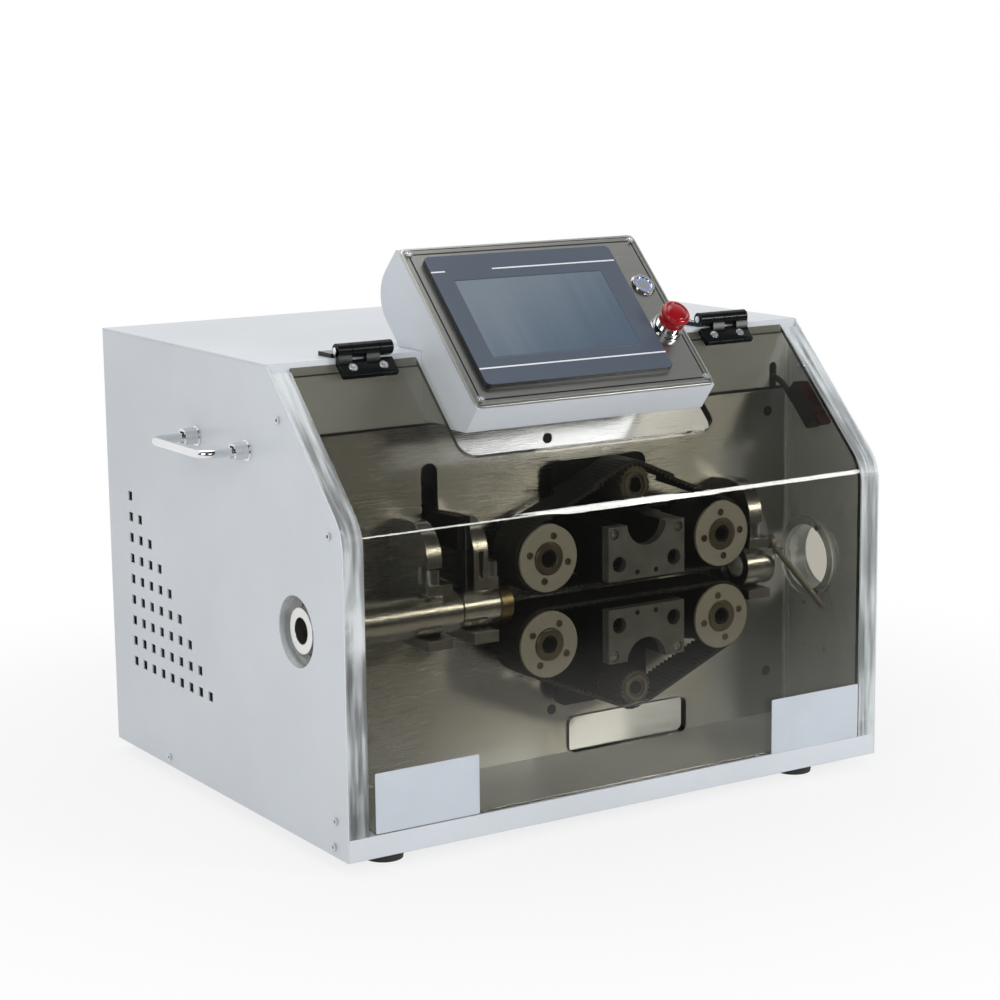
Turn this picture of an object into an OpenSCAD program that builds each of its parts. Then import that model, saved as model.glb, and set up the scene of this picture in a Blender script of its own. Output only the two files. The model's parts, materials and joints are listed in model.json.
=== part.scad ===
// Bench tube cutting machine: a white sheet cabinet with a smoked folding cover,
// two driven belt units that feed a plastic tube, and a blade that drops between two bushes.
// Inside the modules X is centred, Y runs back from the front face and Z up from the cabinet's
// underside. place() moves that to the part's frame: the middle of the footprint, feet on Z = 0.

/* [Cabinet] */
// Width of the white cabinet
body_w = 588; // [560:1:640]
// Depth of the white cabinet
body_d = 477; // [460:1:540]
// Height of the top panel above the tube's axis
head_h = 229; // [223:1:253]
// Distance from the front face back to the top of the slope
slope_d = 129; // [126:1:132]
// Bend radius at the knee of the front
knee_r = 43; // [30:1:50]
// Thickness of the folded sheet
sheet_t = 1.5; // [1:0.1:2]
// Height of the base pan's front lip
lip_h = 20; // [18:1:24]
// Height of the apron folded down from the top panel
apron_h = 68; // [66:1:70]
// Side of one square vent hole
vent_s = 9; // [6:0.5:11]
// Distance from one vent hole to the next
vent_pitch = 20.75; // [18:0.25:22]
// Rows of vent holes on each side
vent_rows = 9; // [3:1:9]

/* [Clear parts] */
// Thickness of the clear side windows
window_t = 19.5; // [16:0.5:20]
// Thickness of the smoked cover
cover_t = 8; // [6:0.5:9]
// Width of the finger window in the cover
finger_w = 130; // [110:1:150]
// Height of the finger window in the cover
finger_h = 33; // [28:1:38]
// Diameter of the tube inlet and outlet holes in the sides
side_hole_d = 64; // [50:1:66]

/* [Control panel] */
// Width of the control panel's strip for the buttons, right of the screen
button_strip_w = 39.2; // [38:0.1:42]
// Tilt of the control panel
panel_tilt = 44.5; // [43:0.5:46]
// Depth of the panel housing behind the plate
housing_depth = 65; // [62:1:70]
// Width of the touch screen's bezel
bezel_w = 204; // [196:1:206]
// Height of the touch screen's bezel
bezel_h = 150; // [140:1:152]
// Diameter of the emergency stop's head
estop_d = 28; // [26:1:32]

/* [Tube line] */
// Distance from the front face back to the tube's axis
tube_y = 85; // [84:0.5:86]
// Distance that the inlet hole lies in front of the tube's axis
inlet_shift = 6; // [0:0.5:6]
// Height of the tube's axis above the cabinet's underside
tube_z = 187; // [184:1:190]
// Bore of every guide bush
bore_d = 22.7; // [14:0.1:26]
// Bore of the outlet tube, a little wider so that a cut piece slides out
outlet_bore_d = 24; // [23:0.1:28]
// Outer diameter of the outlet tube, the blade bush and the inlet bush
bush_d = 41; // [36:0.5:42]
// Gap between the two bushes that the blade runs in
blade_gap = 2.2; // [2:0.1:3]
// Thickness of the blade
blade_t = 1.2; // [0.6:0.1:1.4]

/* [Belt feed] */
// Distance between the two rollers of one belt
roller_pitch = 197; // [190:1:198]
// Height of the rollers' axes from the tube's axis
roller_rise = 40; // [39:0.5:42]
// Height of the idlers' axes from the tube's axis
idler_rise = 96; // [92:1:98]
// Diameter of the rollers' end flanges
flange_d = 62; // [58:1:62]
// Thickness of the belts with their teeth
belt_t = 4.7; // [3:0.1:5]
// Width of the belts
belt_w = 40; // [30:1:40]

/* [Hidden] */
$fn = 48;

// Clearances
run_gap = 0.05;      // radial clearance of a shaft or slide in its bore
seat_gap = 0.3;      // gap between parts that move past each other
fit_gap = 0.05;      // gap between parts that are clamped together

// The part's frame
foot_h = 12;
foot_d = 38;
foot_y = 32;
foot_rear_y = body_d - 40;
foot_left_x = -body_w / 2 + 53;
foot_right_x = body_w / 2 - 76;
inlet_flange_t = 2.5;
origin_y = (body_d + inlet_flange_t) / 2;

// Sheet work
body_h = tube_z + head_h;
half_w = body_w / 2;
inner_w = half_w - sheet_t;
knee_z = body_h - slope_d;
knee_tangent = knee_r * tan(22.5);
top_front_y = slope_d - 2;
apron_z = body_h - apron_h;
plate_y = 122;
plate_t = 8;
deck_y = plate_y + plate_t + 2;
plate_top = apron_z - 2;
frame_bar = 20;
bar_high_z = plate_top - 21;
bar_low_z = lip_h + 44.5;
frame_screw_xs = [for (i = [-1:1]) i * (half_w - 35.3) - 6];
window_in = inner_w - window_t;
side_screw_spots = [[top_front_y - 19.5, body_h - 46], [20.4, knee_z - 5], [19.4, lip_h + 13],
    [23.2, lip_h - 11], [body_d - 123, lip_h - 11]];
vent_y = body_d - 51;
vent_z = 90;
air_slots = 8;
air_slot_w = 6;
air_slot_h = 40;
air_slot_pitch = 24;
air_slot_x = -120;
air_slot_z = body_h - 86;

// Screws: head diameter, head height and shank diameter
button_d = 7;
button_h = 2;
shank_d = 3.8;
socket_d = 10;
socket_h = 6;
socket_shank_d = 5.9;
socket_hole_d = 6;
screw_grip = 6;      // length of a long screw behind the sheet that it holds
short_grip = 4;      // the same on a short screw
foot_recess = 4;

// Smoked cover and hinges
cover_gap = 0.6;
cover_y = 1;
cover_half = window_in - cover_gap;
cover_low = lip_h + cover_gap;
cover_end_y = top_front_y - 1.5;
notch_s = 63;
notch_r = 15;
finger_z = 76;
finger_r = 6;
hinge_x = half_w - 95;
hinge_w = 56;
hinge_knuckle_d = 13;
hinge_pin_d = 5;
hinge_leaf_t = 5;
hinge_leaf_l = 28;
hinge_knuckles = 4;
hinge_gap = 0.4;
hinge_y = top_front_y - 2;
hinge_z = body_h + hinge_knuckle_d / 2 + 0.6;
hinge_base_t = 4;
hinge_base_l = 24;

// Control panel, and the cover's notch round it
panel_x = -8.5;
panel_y = slope_d - 30.9;
panel_z = body_h + 24.6;
panel_t = 2;
panel_r = 5;
panel_left = 16.8;   // plate left of the bezel
panel_over = 15.4;   // plate above the bezel
panel_under = 19.6;  // plate below the bezel
panel_w = panel_left + bezel_w + button_strip_w;
panel_h = panel_over + bezel_h + panel_under;
panel_screw_w = panel_w - 14;
panel_screw_h = panel_h - 16;
notch_left = panel_x - panel_w / 2 - 6;
notch_right = panel_x + panel_w / 2 + 12.5;
housing_t = 1.5;
housing_round = 31;
housing_over = 2.5;  // how far the housing's top stands above the plate
housing_low_z = apron_z + 3;
bezel_x = panel_left + bezel_w / 2 - panel_w / 2;
bezel_v = panel_under + bezel_h / 2 - panel_h / 2;
bezel_t = 5;
bezel_r = 6;
screen_box_w = bezel_w - 14;
screen_box_h = bezel_h - 14;
screen_box_t = 34;
glass_x = bezel_x - 1.6;
glass_v = bezel_v - 0.3;
glass_w = bezel_w - 43.3;
glass_h = bezel_h - 60.6;
glass_t = 1;
power_x = panel_w / 2 - 20.2;
power_v = 29.2;
power_hole_d = 19;
power_rim_d = 25;
power_cap_d = 16;
power_travel = 2;
estop_x = panel_w / 2 - 21.4;
estop_v = -24.5;
estop_hole_d = 22;
estop_stem_d = 12;
estop_pin_d = 6;
estop_travel = 4;
estop_collar_h = 6.5;
estop_head_h = 15;
estop_deep = 30;
estop_rise = estop_collar_h + estop_travel + seat_gap;

// Folding handles
handle_y = 219.4;
handle_span = 101.8;
handle_z = body_h - 80.5;
handle_out = 45;
rod_d = 8;
ferrule_d = 16;
ferrule_l = 15;
ferrule_rim = 1.5;
handle_pivot = 8;
handle_bend = 12;
handle_pin_d = 3;
handle_stud_d = 5;
handle_lug_d = 10;
handle_lug_l = 7.2;

// Tube line
tube_end_x = -half_w + 5;
blade_x = -135.7;
bush_a_x = blade_x - 43;
bush_c_x = blade_x + 39.9;
bush_c_d = bush_d - 3;
bush_flange_x = bush_c_x + 12.2;
feed_x = bush_flange_x + 2.6 + flange_d / 2 + roller_pitch / 2;
guide_x = feed_x + roller_pitch / 2 + flange_d / 2 + 6.5;
guide_bush_x = [guide_x, guide_x + 32.5];
bracket_front = tube_y - 25;
bracket_top = tube_z + 85;
bracket_r = 34;
bracket_t = 15;
jaw_w = 25.5;
jaw_t = 9;
bracket_xs = [blade_x - 41.3, blade_x + 7, guide_x - 2.7];
bracket_bores = [bush_d, bush_c_d, bush_d];
clamp_xs = [blade_x - 31.3, blade_x + 29.1, guide_x + 7.5];
clamp_y = bracket_front + 8.5;
clamp_head_d = 13.6;
clamp_head_h = 14;
clamp_d = 6;
jaw_top = tube_z + bush_d / 2 + jaw_t;
inlet_y = tube_y - inlet_shift;
ring_d = side_hole_d + 16;
ring_t = 6;
ring_screw_r = (side_hole_d + ring_d) / 4;
ring_screw_d = 3;
ring_turns = [0, 120, 240];
lever_d = 5;
lever_pin_d = 5;
lever_knob_d = 13;
lever_knob_w = 5;
lever_at = [bracket_xs[2] + jaw_w + seat_gap, bracket_front + 3, jaw_top - 5.5];
lever_tip = [window_in - 21, tube_y - 51, tube_z - 40.5];

// Belt feed
flange_t = 3.5;
roller_l = belt_w + 1 + 2 * flange_t;
carriage_y = plate_y - 15;
roller_y = carriage_y - 1 - roller_l;
belt_y = roller_y + flange_t + 0.5;
roller_core_d = 58;
belt_slack = 0.3;
belt_in_r = roller_core_d / 2 + belt_slack;
idler_core_d = 34;
idler_in_r = idler_core_d / 2 + belt_slack;
axle_d = 12;
hub_d = 28;
carriage_back = plate_y - socket_h - 1;
boss_d = 38;
feed_close = 4;
feed_open = 12;
block_w = 86;
block_h = 51;
block_lift = 13.2;
block_front = roller_y - 15;
block_notch_r = 22;
carriage_top = idler_rise + 20;
carriage_w = 102;
motor_w = 57;
motor_l = 76;
motor_y = plate_y + plate_t + 4;

// Blade slide
slot_x = blade_x - 0.8;
slot_w = 17.4;
slot_top = bar_high_z - 13;
slot_low = tube_z + 13;
arm_w = 13.4;
arm_low = tube_z + 58;
arm_h = 30;
blade_front = tube_y - 23;
blade_back = tube_y + 25;
blade_edge = tube_z + 22;
blade_rake = 4;
shelf_w = 70;
shelf_t = 6;
shelf_z = bar_low_z + frame_bar / 2 + 1 + motor_l;
rail_x = blade_x - 29.3;
rail_w = 15;
rail_t = 12;
rail_low = shelf_z + shelf_t + 16;
rail_high = bar_high_z - 12;
screw_x = blade_x - 14.3;
screw_y = plate_y + plate_t + 38;
screw_d = 12;
screw_block_w = 30;
screw_block_l = 32;
slider_x = [blade_x - 46.3, blade_x + 13.7];
slider_z = [tube_z + 45, tube_z + 101];

// Interlock switch and its lead
switch_w = 14;
switch_l = 45;
switch_t = 16;
switch_s = 89.8;
switch_w_at = -cover_t - 13.9;
key_s = 82.4;
key_l = 50;
key_t = 4.5;
lead_d = 6;
cable_slot_x = window_in - 10;
cable_slot_w = 9;
cable_slot_h = 24;
lead_route = [[266, 91, 336], [266, 97, 336], [265.5, 104, 342.5], [265, 111, 350],
    [264, 118, 355], [263, 126, 357.5], [262, 136, 356], [262, 148, 347], [262, 156, 330],
    [262, 160, 300], [262, 161, 250], [262, 161, 200], [262, 161, 150], [262, 163, 100],
    [262, 170, 62], [262, 184, 38], [262, 200, 28], [262, 216, 28]];
lead_sides = 8;
lead_steps = 2;

// Boxes inside the cabinet
supply_at = [16 - half_w, body_d - 225, sheet_t];
supply_size = [98, 199, 42];
driver_at = [-60, body_d - 147, sheet_t];
driver_size = [34, 118, 75];
driver_pitch = 46;
controller_at = [half_w - 104, 216, sheet_t];
controller_size = [90, 150, 45];
inlet_x = half_w - 94;
inlet_z = 70;
inlet_w = 50;
inlet_h = 30;
inlet_body_w = 27;
inlet_body_h = 20;
inlet_depth = 28;

// Shared placing and shape helpers

module place() {
    translate([0, -origin_y, foot_h]) children();
}

// Carries a YZ outline along X
module along_x(x0, x1) {
    translate([x0, 0, 0]) rotate([90, 0, 90]) linear_extrude(x1 - x0) children();
}

// Carries an XZ outline along Y
module along_y(y0, y1) {
    translate([0, y1, 0]) rotate([90, 0, 0]) linear_extrude(y1 - y0) children();
}

module rod_x(x0, x1, d) {
    translate([x0, 0, 0]) rotate([0, 90, 0]) cylinder(h = x1 - x0, d = d);
}

module rod_y(y0, y1, d) {
    translate([0, y0, 0]) rotate([-90, 0, 0]) cylinder(h = y1 - y0, d = d);
}

module round_rect(w, h, r) {
    square([w - 2 * r, h], center = true);
    square([w, h - 2 * r], center = true);
    for (sx = [-1, 1], sy = [-1, 1])
        translate([sx * (w / 2 - r), sy * (h / 2 - r)]) circle(r);
}

// Upright slot with round ends, from z0 to z1 between its outermost points
module slot_2d(w, z0, z1) {
    translate([-w / 2, z0 + w / 2]) square([w, z1 - z0 - w]);
    translate([0, z0 + w / 2]) circle(w / 2);
    translate([0, z1 - w / 2]) circle(w / 2);
}

// Mirrors its children to both sides of the machine
module both_sides() {
    for (m = [0, 1]) mirror([m, 0, 0]) children();
}

// Points of the front bend at a distance in from the outside
function knee_arc(inset) = [for (i = [0:10]) let (a = 180 - 4.5 * i, r = knee_r - inset)
    [knee_r + r * cos(a), knee_z - knee_tangent + r * sin(a)]];

// Where the slope, moved in by inset, reaches the height z
function slope_y(inset, z) = z - knee_z + inset * sqrt(2);

// Side outline of the cabinet from front to back
module side_outline(top, low, back) {
    polygon(concat([[0, low]], knee_arc(0), [[slope_y(0, top), top], [back, top], [back, low]]));
}

// Cap screw pointing along +Z with its head's base at the origin
module cap_screw(head_d, head_h, d, l) {
    difference() {
        cylinder(h = head_h, d = head_d);
        translate([0, 0, head_h * 0.45]) cylinder(h = head_h, d = head_d * 0.55, $fn = 6);
    }
    translate([0, 0, -l]) cylinder(h = l, d = d);
}

// Button screw on a side panel, with its shank inwards
module side_screw(y, z) {
    translate([-half_w, y, z]) rotate([0, -90, 0])
        cap_screw(button_d, button_h, shank_d, sheet_t + screw_grip);
}

// Cabinet

module base_pan() {
    place() color("whitesmoke") difference() {
        union() {
            translate([-inner_w, 0, 0]) cube([2 * inner_w, body_d - sheet_t, sheet_t]);
            translate([-inner_w, 0, 0]) cube([2 * inner_w, sheet_t, lip_h]);
            translate([-inner_w, 0, lip_h - sheet_t]) cube([2 * inner_w, deck_y, sheet_t]);
            translate([-inner_w, deck_y - sheet_t, 0]) cube([2 * inner_w, sheet_t, lip_h]);
            for (x = [-inner_w, inner_w - sheet_t])
                translate([x, 0, 0]) cube([sheet_t, body_d - sheet_t, lip_h]);
        }
        for (x = [foot_left_x, foot_right_x], y = [foot_y, foot_rear_y])
            translate([x, y, -1]) cylinder(h = 4, d = shank_d + 2 * fit_gap);
        for (i = [3, 4]) translate([0, side_screw_spots[i][0], side_screw_spots[i][1]])
            rod_x(-half_w, half_w, shank_d + 2 * fit_gap);
    }
}

module vents_2d() {
    for (row = [0:vent_rows - 1], n = [0:row])
        translate([vent_y - n * vent_pitch, vent_z + (vent_rows - 1 - row) * vent_pitch])
            square(vent_s, center = true);
}

module side_panel(hole_y) {
    along_x(-half_w, -inner_w) difference() {
        side_outline(body_h - sheet_t, 0, body_d);
        translate([hole_y, tube_z]) circle(d = side_hole_d, $fn = 96);
        for (p = side_screw_spots) translate(p) circle(d = shank_d + 2 * fit_gap);
        vents_2d();
        for (s = [-1, 1]) translate([handle_y + s * handle_span / 2, handle_z])
            circle(d = handle_stud_d + 2 * fit_gap);
    }
}

module left_side_panel() {
    place() color("lightsteelblue") side_panel(tube_y);
}

module right_side_panel() {
    place() color("lightsteelblue") mirror([1, 0, 0]) side_panel(inlet_y);
}

module top_panel() {
    place() color("whitesmoke") difference() {
        union() {
            translate([-half_w, top_front_y, body_h - sheet_t])
                cube([body_w, body_d - top_front_y, sheet_t]);
            translate([-inner_w, top_front_y, apron_z])
                cube([2 * inner_w, sheet_t, apron_h - sheet_t]);
            both_sides() translate([-inner_w, top_front_y + sheet_t, body_h - sheet_t - 12])
                cube([sheet_t, body_d - 2 * sheet_t - top_front_y - 4, 12]);
        }
        along_y(top_front_y - 1, top_front_y + 3)
            translate([cable_slot_x, 0]) slot_2d(cable_slot_w, apron_z - 10, apron_z + cable_slot_h);
    }
}

module rear_panel() {
    place() color("whitesmoke") difference() {
        translate([-inner_w, body_d - sheet_t, 0])
            cube([2 * inner_w, sheet_t, body_h - sheet_t]);
        translate([inlet_x, 0, inlet_z]) along_y(body_d - 3, body_d + 1)
            round_rect(inlet_body_w + 0.4, inlet_body_h + 0.4, 3);
        for (i = [0:air_slots - 1]) translate([air_slot_x + air_slot_pitch * i, 0, air_slot_z])
            along_y(body_d - 3, body_d + 1) slot_2d(air_slot_w, 0, air_slot_h);
    }
}

// Welded square bars that the mounting plate is screwed to
module inner_frame() {
    place() color("dimgray") difference() {
        union() {
            for (z = [bar_high_z, bar_low_z])
                translate([-inner_w, plate_y + plate_t, z - frame_bar / 2])
                    cube([2 * inner_w, frame_bar, frame_bar]);
            for (x = [-inner_w, inner_w - frame_bar])
                translate([x + (x < 0 ? sheet_t : -sheet_t), deck_y + 1, sheet_t])
                    cube([frame_bar, frame_bar - 3, bar_high_z]);
        }
        for (x = frame_screw_xs, z = [bar_high_z, bar_low_z])
            translate([x, 0, z]) rod_y(plate_y, plate_y + plate_t + 14, socket_hole_d);
    }
}

module rubber_feet() {
    place() color("black") for (x = [foot_left_x, foot_right_x], y = [foot_y, foot_rear_y])
        translate([x, y, -foot_h]) difference() {
            cylinder(h = foot_h, d1 = foot_d - 4, d2 = foot_d);
            translate([0, 0, -1]) cylinder(h = foot_recess + 1, d = button_d + 1);
            cylinder(h = foot_h + 1, d = shank_d + 2 * fit_gap);
        }
}

module cabinet_screws() {
    place() color("silver") {
        both_sides() for (p = side_screw_spots) side_screw(p[0], p[1]);
        for (x = [foot_left_x, foot_right_x], y = [foot_y, foot_rear_y])
            translate([x, y, -foot_h + foot_recess]) mirror([0, 0, 1])
                cap_screw(button_d, button_h, shank_d, foot_h - foot_recess + sheet_t);
        for (sx = [-1, 1], sv = [-1, 1])
            on_panel(sx * panel_screw_w / 2, sv * panel_screw_h / 2, 0)
                cap_screw(button_d, button_h, shank_d, panel_t + short_grip);
        for (a = ring_turns) translate([window_in - ring_t, inlet_y, tube_z]) rotate([a, 0, 0])
            translate([0, ring_screw_r, 0]) rotate([0, -90, 0])
                cap_screw(2 * ring_screw_d, button_h, ring_screw_d, ring_t + short_grip);
    }
}

// Clear parts

module window_plate(hole_y) {
    difference() {
        along_x(-inner_w, -window_in) difference() {
            polygon(concat([[0, lip_h]], knee_arc(0),
                [[plate_y - 0.5, plate_y - 0.5 + knee_z], [plate_y - 0.5, lip_h]]));
            translate([hole_y, tube_z]) circle(d = side_hole_d, $fn = 96);
        }
        for (p = [for (i = [0:2]) side_screw_spots[i]])
            translate([0, p[0], p[1]]) rod_x(-half_w, -inner_w + 8, shank_d + 2 * fit_gap);
    }
}

module left_window() {
    place() color("azure", 0.4) window_plate(tube_y);
}

module right_window() {
    place() color("azure", 0.4) difference() {
        mirror([1, 0, 0]) window_plate(inlet_y);
        for (a = ring_turns) translate([0, inlet_y, tube_z]) rotate([a, 0, 0])
            translate([0, ring_screw_r, 0])
                rod_x(window_in - 1, window_in + short_grip + 1, ring_screw_d + 2 * fit_gap);
    }
}

module inlet_ring() {
    place() color("azure", 0.4) translate([0, inlet_y, tube_z]) difference() {
        rod_x(window_in - ring_t, window_in, ring_d, $fn = 96);
        rod_x(window_in - ring_t - 1, window_in + 1, side_hole_d, $fn = 96);
        for (a = ring_turns) rotate([a, 0, 0]) translate([0, ring_screw_r, 0])
            rod_x(window_in - ring_t - 1, window_in + 1, ring_screw_d + 2 * fit_gap);
    }
}

// Mounting plate with its slots

// Height ranges, from the tube's axis, of the slots that the carriages' bosses ride in
boss_low = roller_rise - feed_close - boss_d / 2 - run_gap;
boss_high = roller_rise + feed_open + boss_d / 2 + run_gap;

module mounting_plate() {
    place() color("silver") difference() {
        translate([-inner_w + 0.5, plate_y, lip_h])
            cube([2 * inner_w - 1, plate_t, plate_top - lip_h]);
        along_y(plate_y - 1, plate_y + plate_t + 1) {
            translate([slot_x, 0]) slot_2d(slot_w, slot_low, slot_top);
            for (sx = [-1, 1], sz = [-1, 1]) translate([feed_x + sx * roller_pitch / 2, tube_z])
                scale([1, sz]) slot_2d(boss_d + 2 * run_gap, boss_low, boss_high);
        }
        for (x = frame_screw_xs, z = [bar_high_z, bar_low_z])
            translate([x, 0, z]) rod_y(plate_y - 1, plate_y + plate_t + 1, socket_hole_d);
    }
}

// Tube line

module tube_ring(x0, x1, d, bore) {
    translate([0, tube_y, tube_z]) difference() {
        rod_x(x0, x1, d, $fn = 96);
        rod_x(x0 - 1, x1 + 1, bore, $fn = 72);
    }
}

module outlet_tube() {
    place() color("lightgray") tube_ring(tube_end_x, bush_a_x, bush_d, outlet_bore_d);
}

module tube_bushes() {
    place() color("silver") {
        tube_ring(bush_a_x, blade_x - blade_gap / 2, bush_d, bore_d);
        tube_ring(blade_x + blade_gap / 2, bush_c_x, bush_c_d, bore_d);
        tube_ring(guide_bush_x[0], guide_bush_x[1], bush_d, bore_d);
    }
}

module bush_flange() {
    place() color("goldenrod") tube_ring(bush_c_x, bush_flange_x, bush_d, bore_d);
}

// Outline of the bush's seat, open to the front
module seat_2d(hole) {
    translate([tube_y, tube_z]) circle(d = hole + 2 * fit_gap, $fn = 96);
    translate([0, tube_z - hole / 2 - fit_gap]) square([tube_y, hole + 2 * fit_gap]);
}

// Outline of a bracket that stands out from the mounting plate above and round a bush
module bracket_2d(hole) {
    low = tube_z - bush_d / 2 - jaw_t;
    difference() {
        union() {
            translate([bracket_front, low])
                square([plate_y - bracket_front, bracket_top - bracket_r - low]);
            translate([bracket_front + bracket_r, low])
                square([plate_y - bracket_front - bracket_r, bracket_top - low]);
            intersection() {
                translate([bracket_front + bracket_r, bracket_top - bracket_r])
                    circle(bracket_r, $fn = 72);
                translate([bracket_front, low]) square([plate_y - bracket_front, bracket_top]);
            }
        }
        seat_2d(hole);
    }
}

// Outline of the upper and lower clamping jaws, which are wider than the bracket's plate
module jaws_2d(hole) {
    difference() {
        translate([bracket_front, tube_z - bush_d / 2 - jaw_t])
            square([tube_y - bracket_front + 6, bush_d + 2 * jaw_t]);
        seat_2d(hole);
    }
}

module tube_bracket(i) {
    x = bracket_xs[i];
    difference() {
        union() {
            along_x(x, x + bracket_t) bracket_2d(bracket_bores[i]);
            along_x(x, x + jaw_w) jaws_2d(bracket_bores[i]);
        }
        if (clamp_xs[i] - clamp_head_d / 2 < x + bracket_t)
            translate([x - 1, bracket_front - 1, jaw_top])
                cube([bracket_t + 2, clamp_y + clamp_head_d / 2 + 2 - bracket_front, clamp_head_h + 2]);
        else
            translate([x + bracket_t / 2 - 2, bracket_front - 1, jaw_top])
                cube([4, 8, 20]);
        translate([clamp_xs[i], clamp_y, tube_z]) cylinder(h = 60, d = clamp_d + 2 * fit_gap);
    }
}

module tube_brackets() {
    place() color("silver") {
        for (i = [0:2]) tube_bracket(i);
        translate([0, lever_at[1], lever_at[2]])
            rod_x(lever_at[0] - seat_gap - 1, lever_at[0] + lever_knob_w + 1.5, lever_pin_d);
    }
}

// Slim steel lever that leans forward from the guide's jaw, in front of the inlet
module guide_lever() {
    start = lever_at + [lever_knob_w - lever_d / 2, 0, 0];
    run = lever_tip - start;
    place() color("silver") difference() {
        union() {
            translate([0, lever_at[1], lever_at[2]])
                rod_x(lever_at[0], lever_at[0] + lever_knob_w, lever_knob_d);
            translate(start) rotate([0, acos(run[2] / norm(run)), atan2(run[1], run[0])])
                translate([0, 0, lever_knob_d / 2 - 1])
                    cylinder(h = norm(run) - lever_knob_d / 2 + 1, d = lever_d);
        }
        translate([0, lever_at[1], lever_at[2]])
            rod_x(lever_at[0] - 1, lever_at[0] + lever_knob_w + 3, lever_pin_d + 2 * run_gap);
    }
}

// Black socket screws of the mounting plate and of the three clamps
module socket_screws() {
    place() color("dimgray") {
        for (x = frame_screw_xs, z = [bar_high_z, bar_low_z])
            translate([x, plate_y, z]) rotate([90, 0, 0])
                cap_screw(socket_d, socket_h, socket_shank_d, plate_t + 12);
        for (i = [0:2]) translate([clamp_xs[i], clamp_y, jaw_top])
            cap_screw(clamp_head_d, clamp_head_h, clamp_d, jaw_t + (bush_d - bracket_bores[i]) / 2);
    }
}

// Hinges

// Place and width of knuckle number k
function knuckle_x(k) = hinge_x - hinge_w / 2 + k * hinge_w / hinge_knuckles + hinge_gap / 2;
knuckle_w = hinge_w / hinge_knuckles - hinge_gap;

// Knuckles with their webs, given as a YZ outline, bored for the pin
module knuckles(first) {
    for (k = [first:2:hinge_knuckles - 1]) difference() {
        union() {
            translate([0, hinge_y, hinge_z])
                rod_x(knuckle_x(k), knuckle_x(k) + knuckle_w, hinge_knuckle_d);
            along_x(knuckle_x(k), knuckle_x(k) + knuckle_w) children();
        }
        translate([0, hinge_y, hinge_z])
            rod_x(knuckle_x(k) - 1, knuckle_x(k) + knuckle_w + 1, hinge_pin_d + 2 * run_gap);
    }
}

module hinge_bases() {
    base_y = hinge_y + hinge_knuckle_d / 2 + 1.2;
    place() color("black") both_sides() {
        knuckles(0) translate([hinge_y, body_h])
            square([base_y - hinge_y + 1, hinge_base_t]);
        translate([hinge_x - hinge_w / 2, base_y, body_h])
            cube([hinge_w, hinge_base_l, hinge_base_t]);
        translate([0, hinge_y, hinge_z])
            rod_x(hinge_x - hinge_w / 2 - 0.8, hinge_x + hinge_w / 2 + 0.8, hinge_pin_d);
    }
}

// Control panel

// Puts its children on the control panel: x across, v up the slope, w out of the plate
module on_panel(x, v, w) {
    translate([panel_x, panel_y, panel_z]) rotate([panel_tilt, 0, 0]) translate([x, v, w])
        children();
}

function panel_point(v, w) = [panel_y + v * cos(panel_tilt) - w * sin(panel_tilt),
    panel_z + v * sin(panel_tilt) + w * cos(panel_tilt)];

// Side outline of the housing, moved in by inset, with its lower back against the apron
module housing_2d(inset) {
    top_v = panel_h / 2 + housing_over - inset;
    front_w = inset > 0 ? 1 : -panel_t;
    deep = -housing_depth + inset;
    round_c = panel_point(top_v + inset - housing_round, -housing_depth + housing_round);
    r = housing_round - inset;
    low_back = panel_point(0, deep);
    base_z = body_h + 0.2 + inset;
    polygon(concat(
        [panel_point(-panel_h / 2 + inset, front_w), panel_point(panel_h / 2 - inset, front_w)],
        inset > 0 ? [panel_point(panel_h / 2 - inset, -panel_t - inset)] : [],
        [panel_point(top_v, -panel_t - housing_over - 2 * inset)],
        [for (i = [0:9]) let (a = panel_tilt - 10 * i)
            round_c + r * [cos(a), sin(a)]],
        [[low_back[0] - (low_back[1] - base_z) / tan(panel_tilt), base_z],
         [top_front_y - 0.2 - inset, base_z],
         [top_front_y - 0.2 - inset, housing_low_z + inset],
         [panel_point(-panel_h / 2, -30)[0], housing_low_z + inset]]));
}

module panel_housing() {
    place() color("silver") difference() {
        along_x(panel_x - panel_w / 2 + 0.5, panel_x + panel_w / 2 - 0.5) housing_2d(0);
        along_x(panel_x - panel_w / 2 + 0.5 + housing_t, panel_x + panel_w / 2 - 0.5 - housing_t)
            housing_2d(housing_t);
    }
}

module panel_plate() {
    place() color("lightgray") difference() {
        on_panel(0, 0, -panel_t) linear_extrude(panel_t) difference() {
            round_rect(panel_w, panel_h, panel_r);
            translate([bezel_x, bezel_v])
                square([screen_box_w + 1, screen_box_h + 1], center = true);
            translate([power_x, power_v]) circle(d = power_hole_d + 2 * fit_gap);
            translate([estop_x, estop_v]) circle(d = estop_hole_d + 2 * fit_gap);
            for (sx = [-1, 1], sv = [-1, 1])
                translate([sx * panel_screw_w / 2, sv * panel_screw_h / 2])
                    circle(d = shank_d + 2 * fit_gap);
        }
    }
}

module touch_screen() {
    place() color("darkslategray") difference() {
        union() {
            on_panel(bezel_x, bezel_v, 0) linear_extrude(bezel_t)
                round_rect(bezel_w, bezel_h, bezel_r);
            on_panel(bezel_x, bezel_v, -screen_box_t) linear_extrude(screen_box_t)
                square([screen_box_w, screen_box_h], center = true);
        }
        on_panel(glass_x, glass_v, bezel_t - glass_t)
            linear_extrude(glass_t + 1) square([glass_w, glass_h], center = true);
    }
}

module screen_glass() {
    place() color("slategray") on_panel(glass_x, glass_v, bezel_t - glass_t)
        linear_extrude(glass_t - 0.2) square([glass_w - 0.4, glass_h - 0.4], center = true);
}

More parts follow.
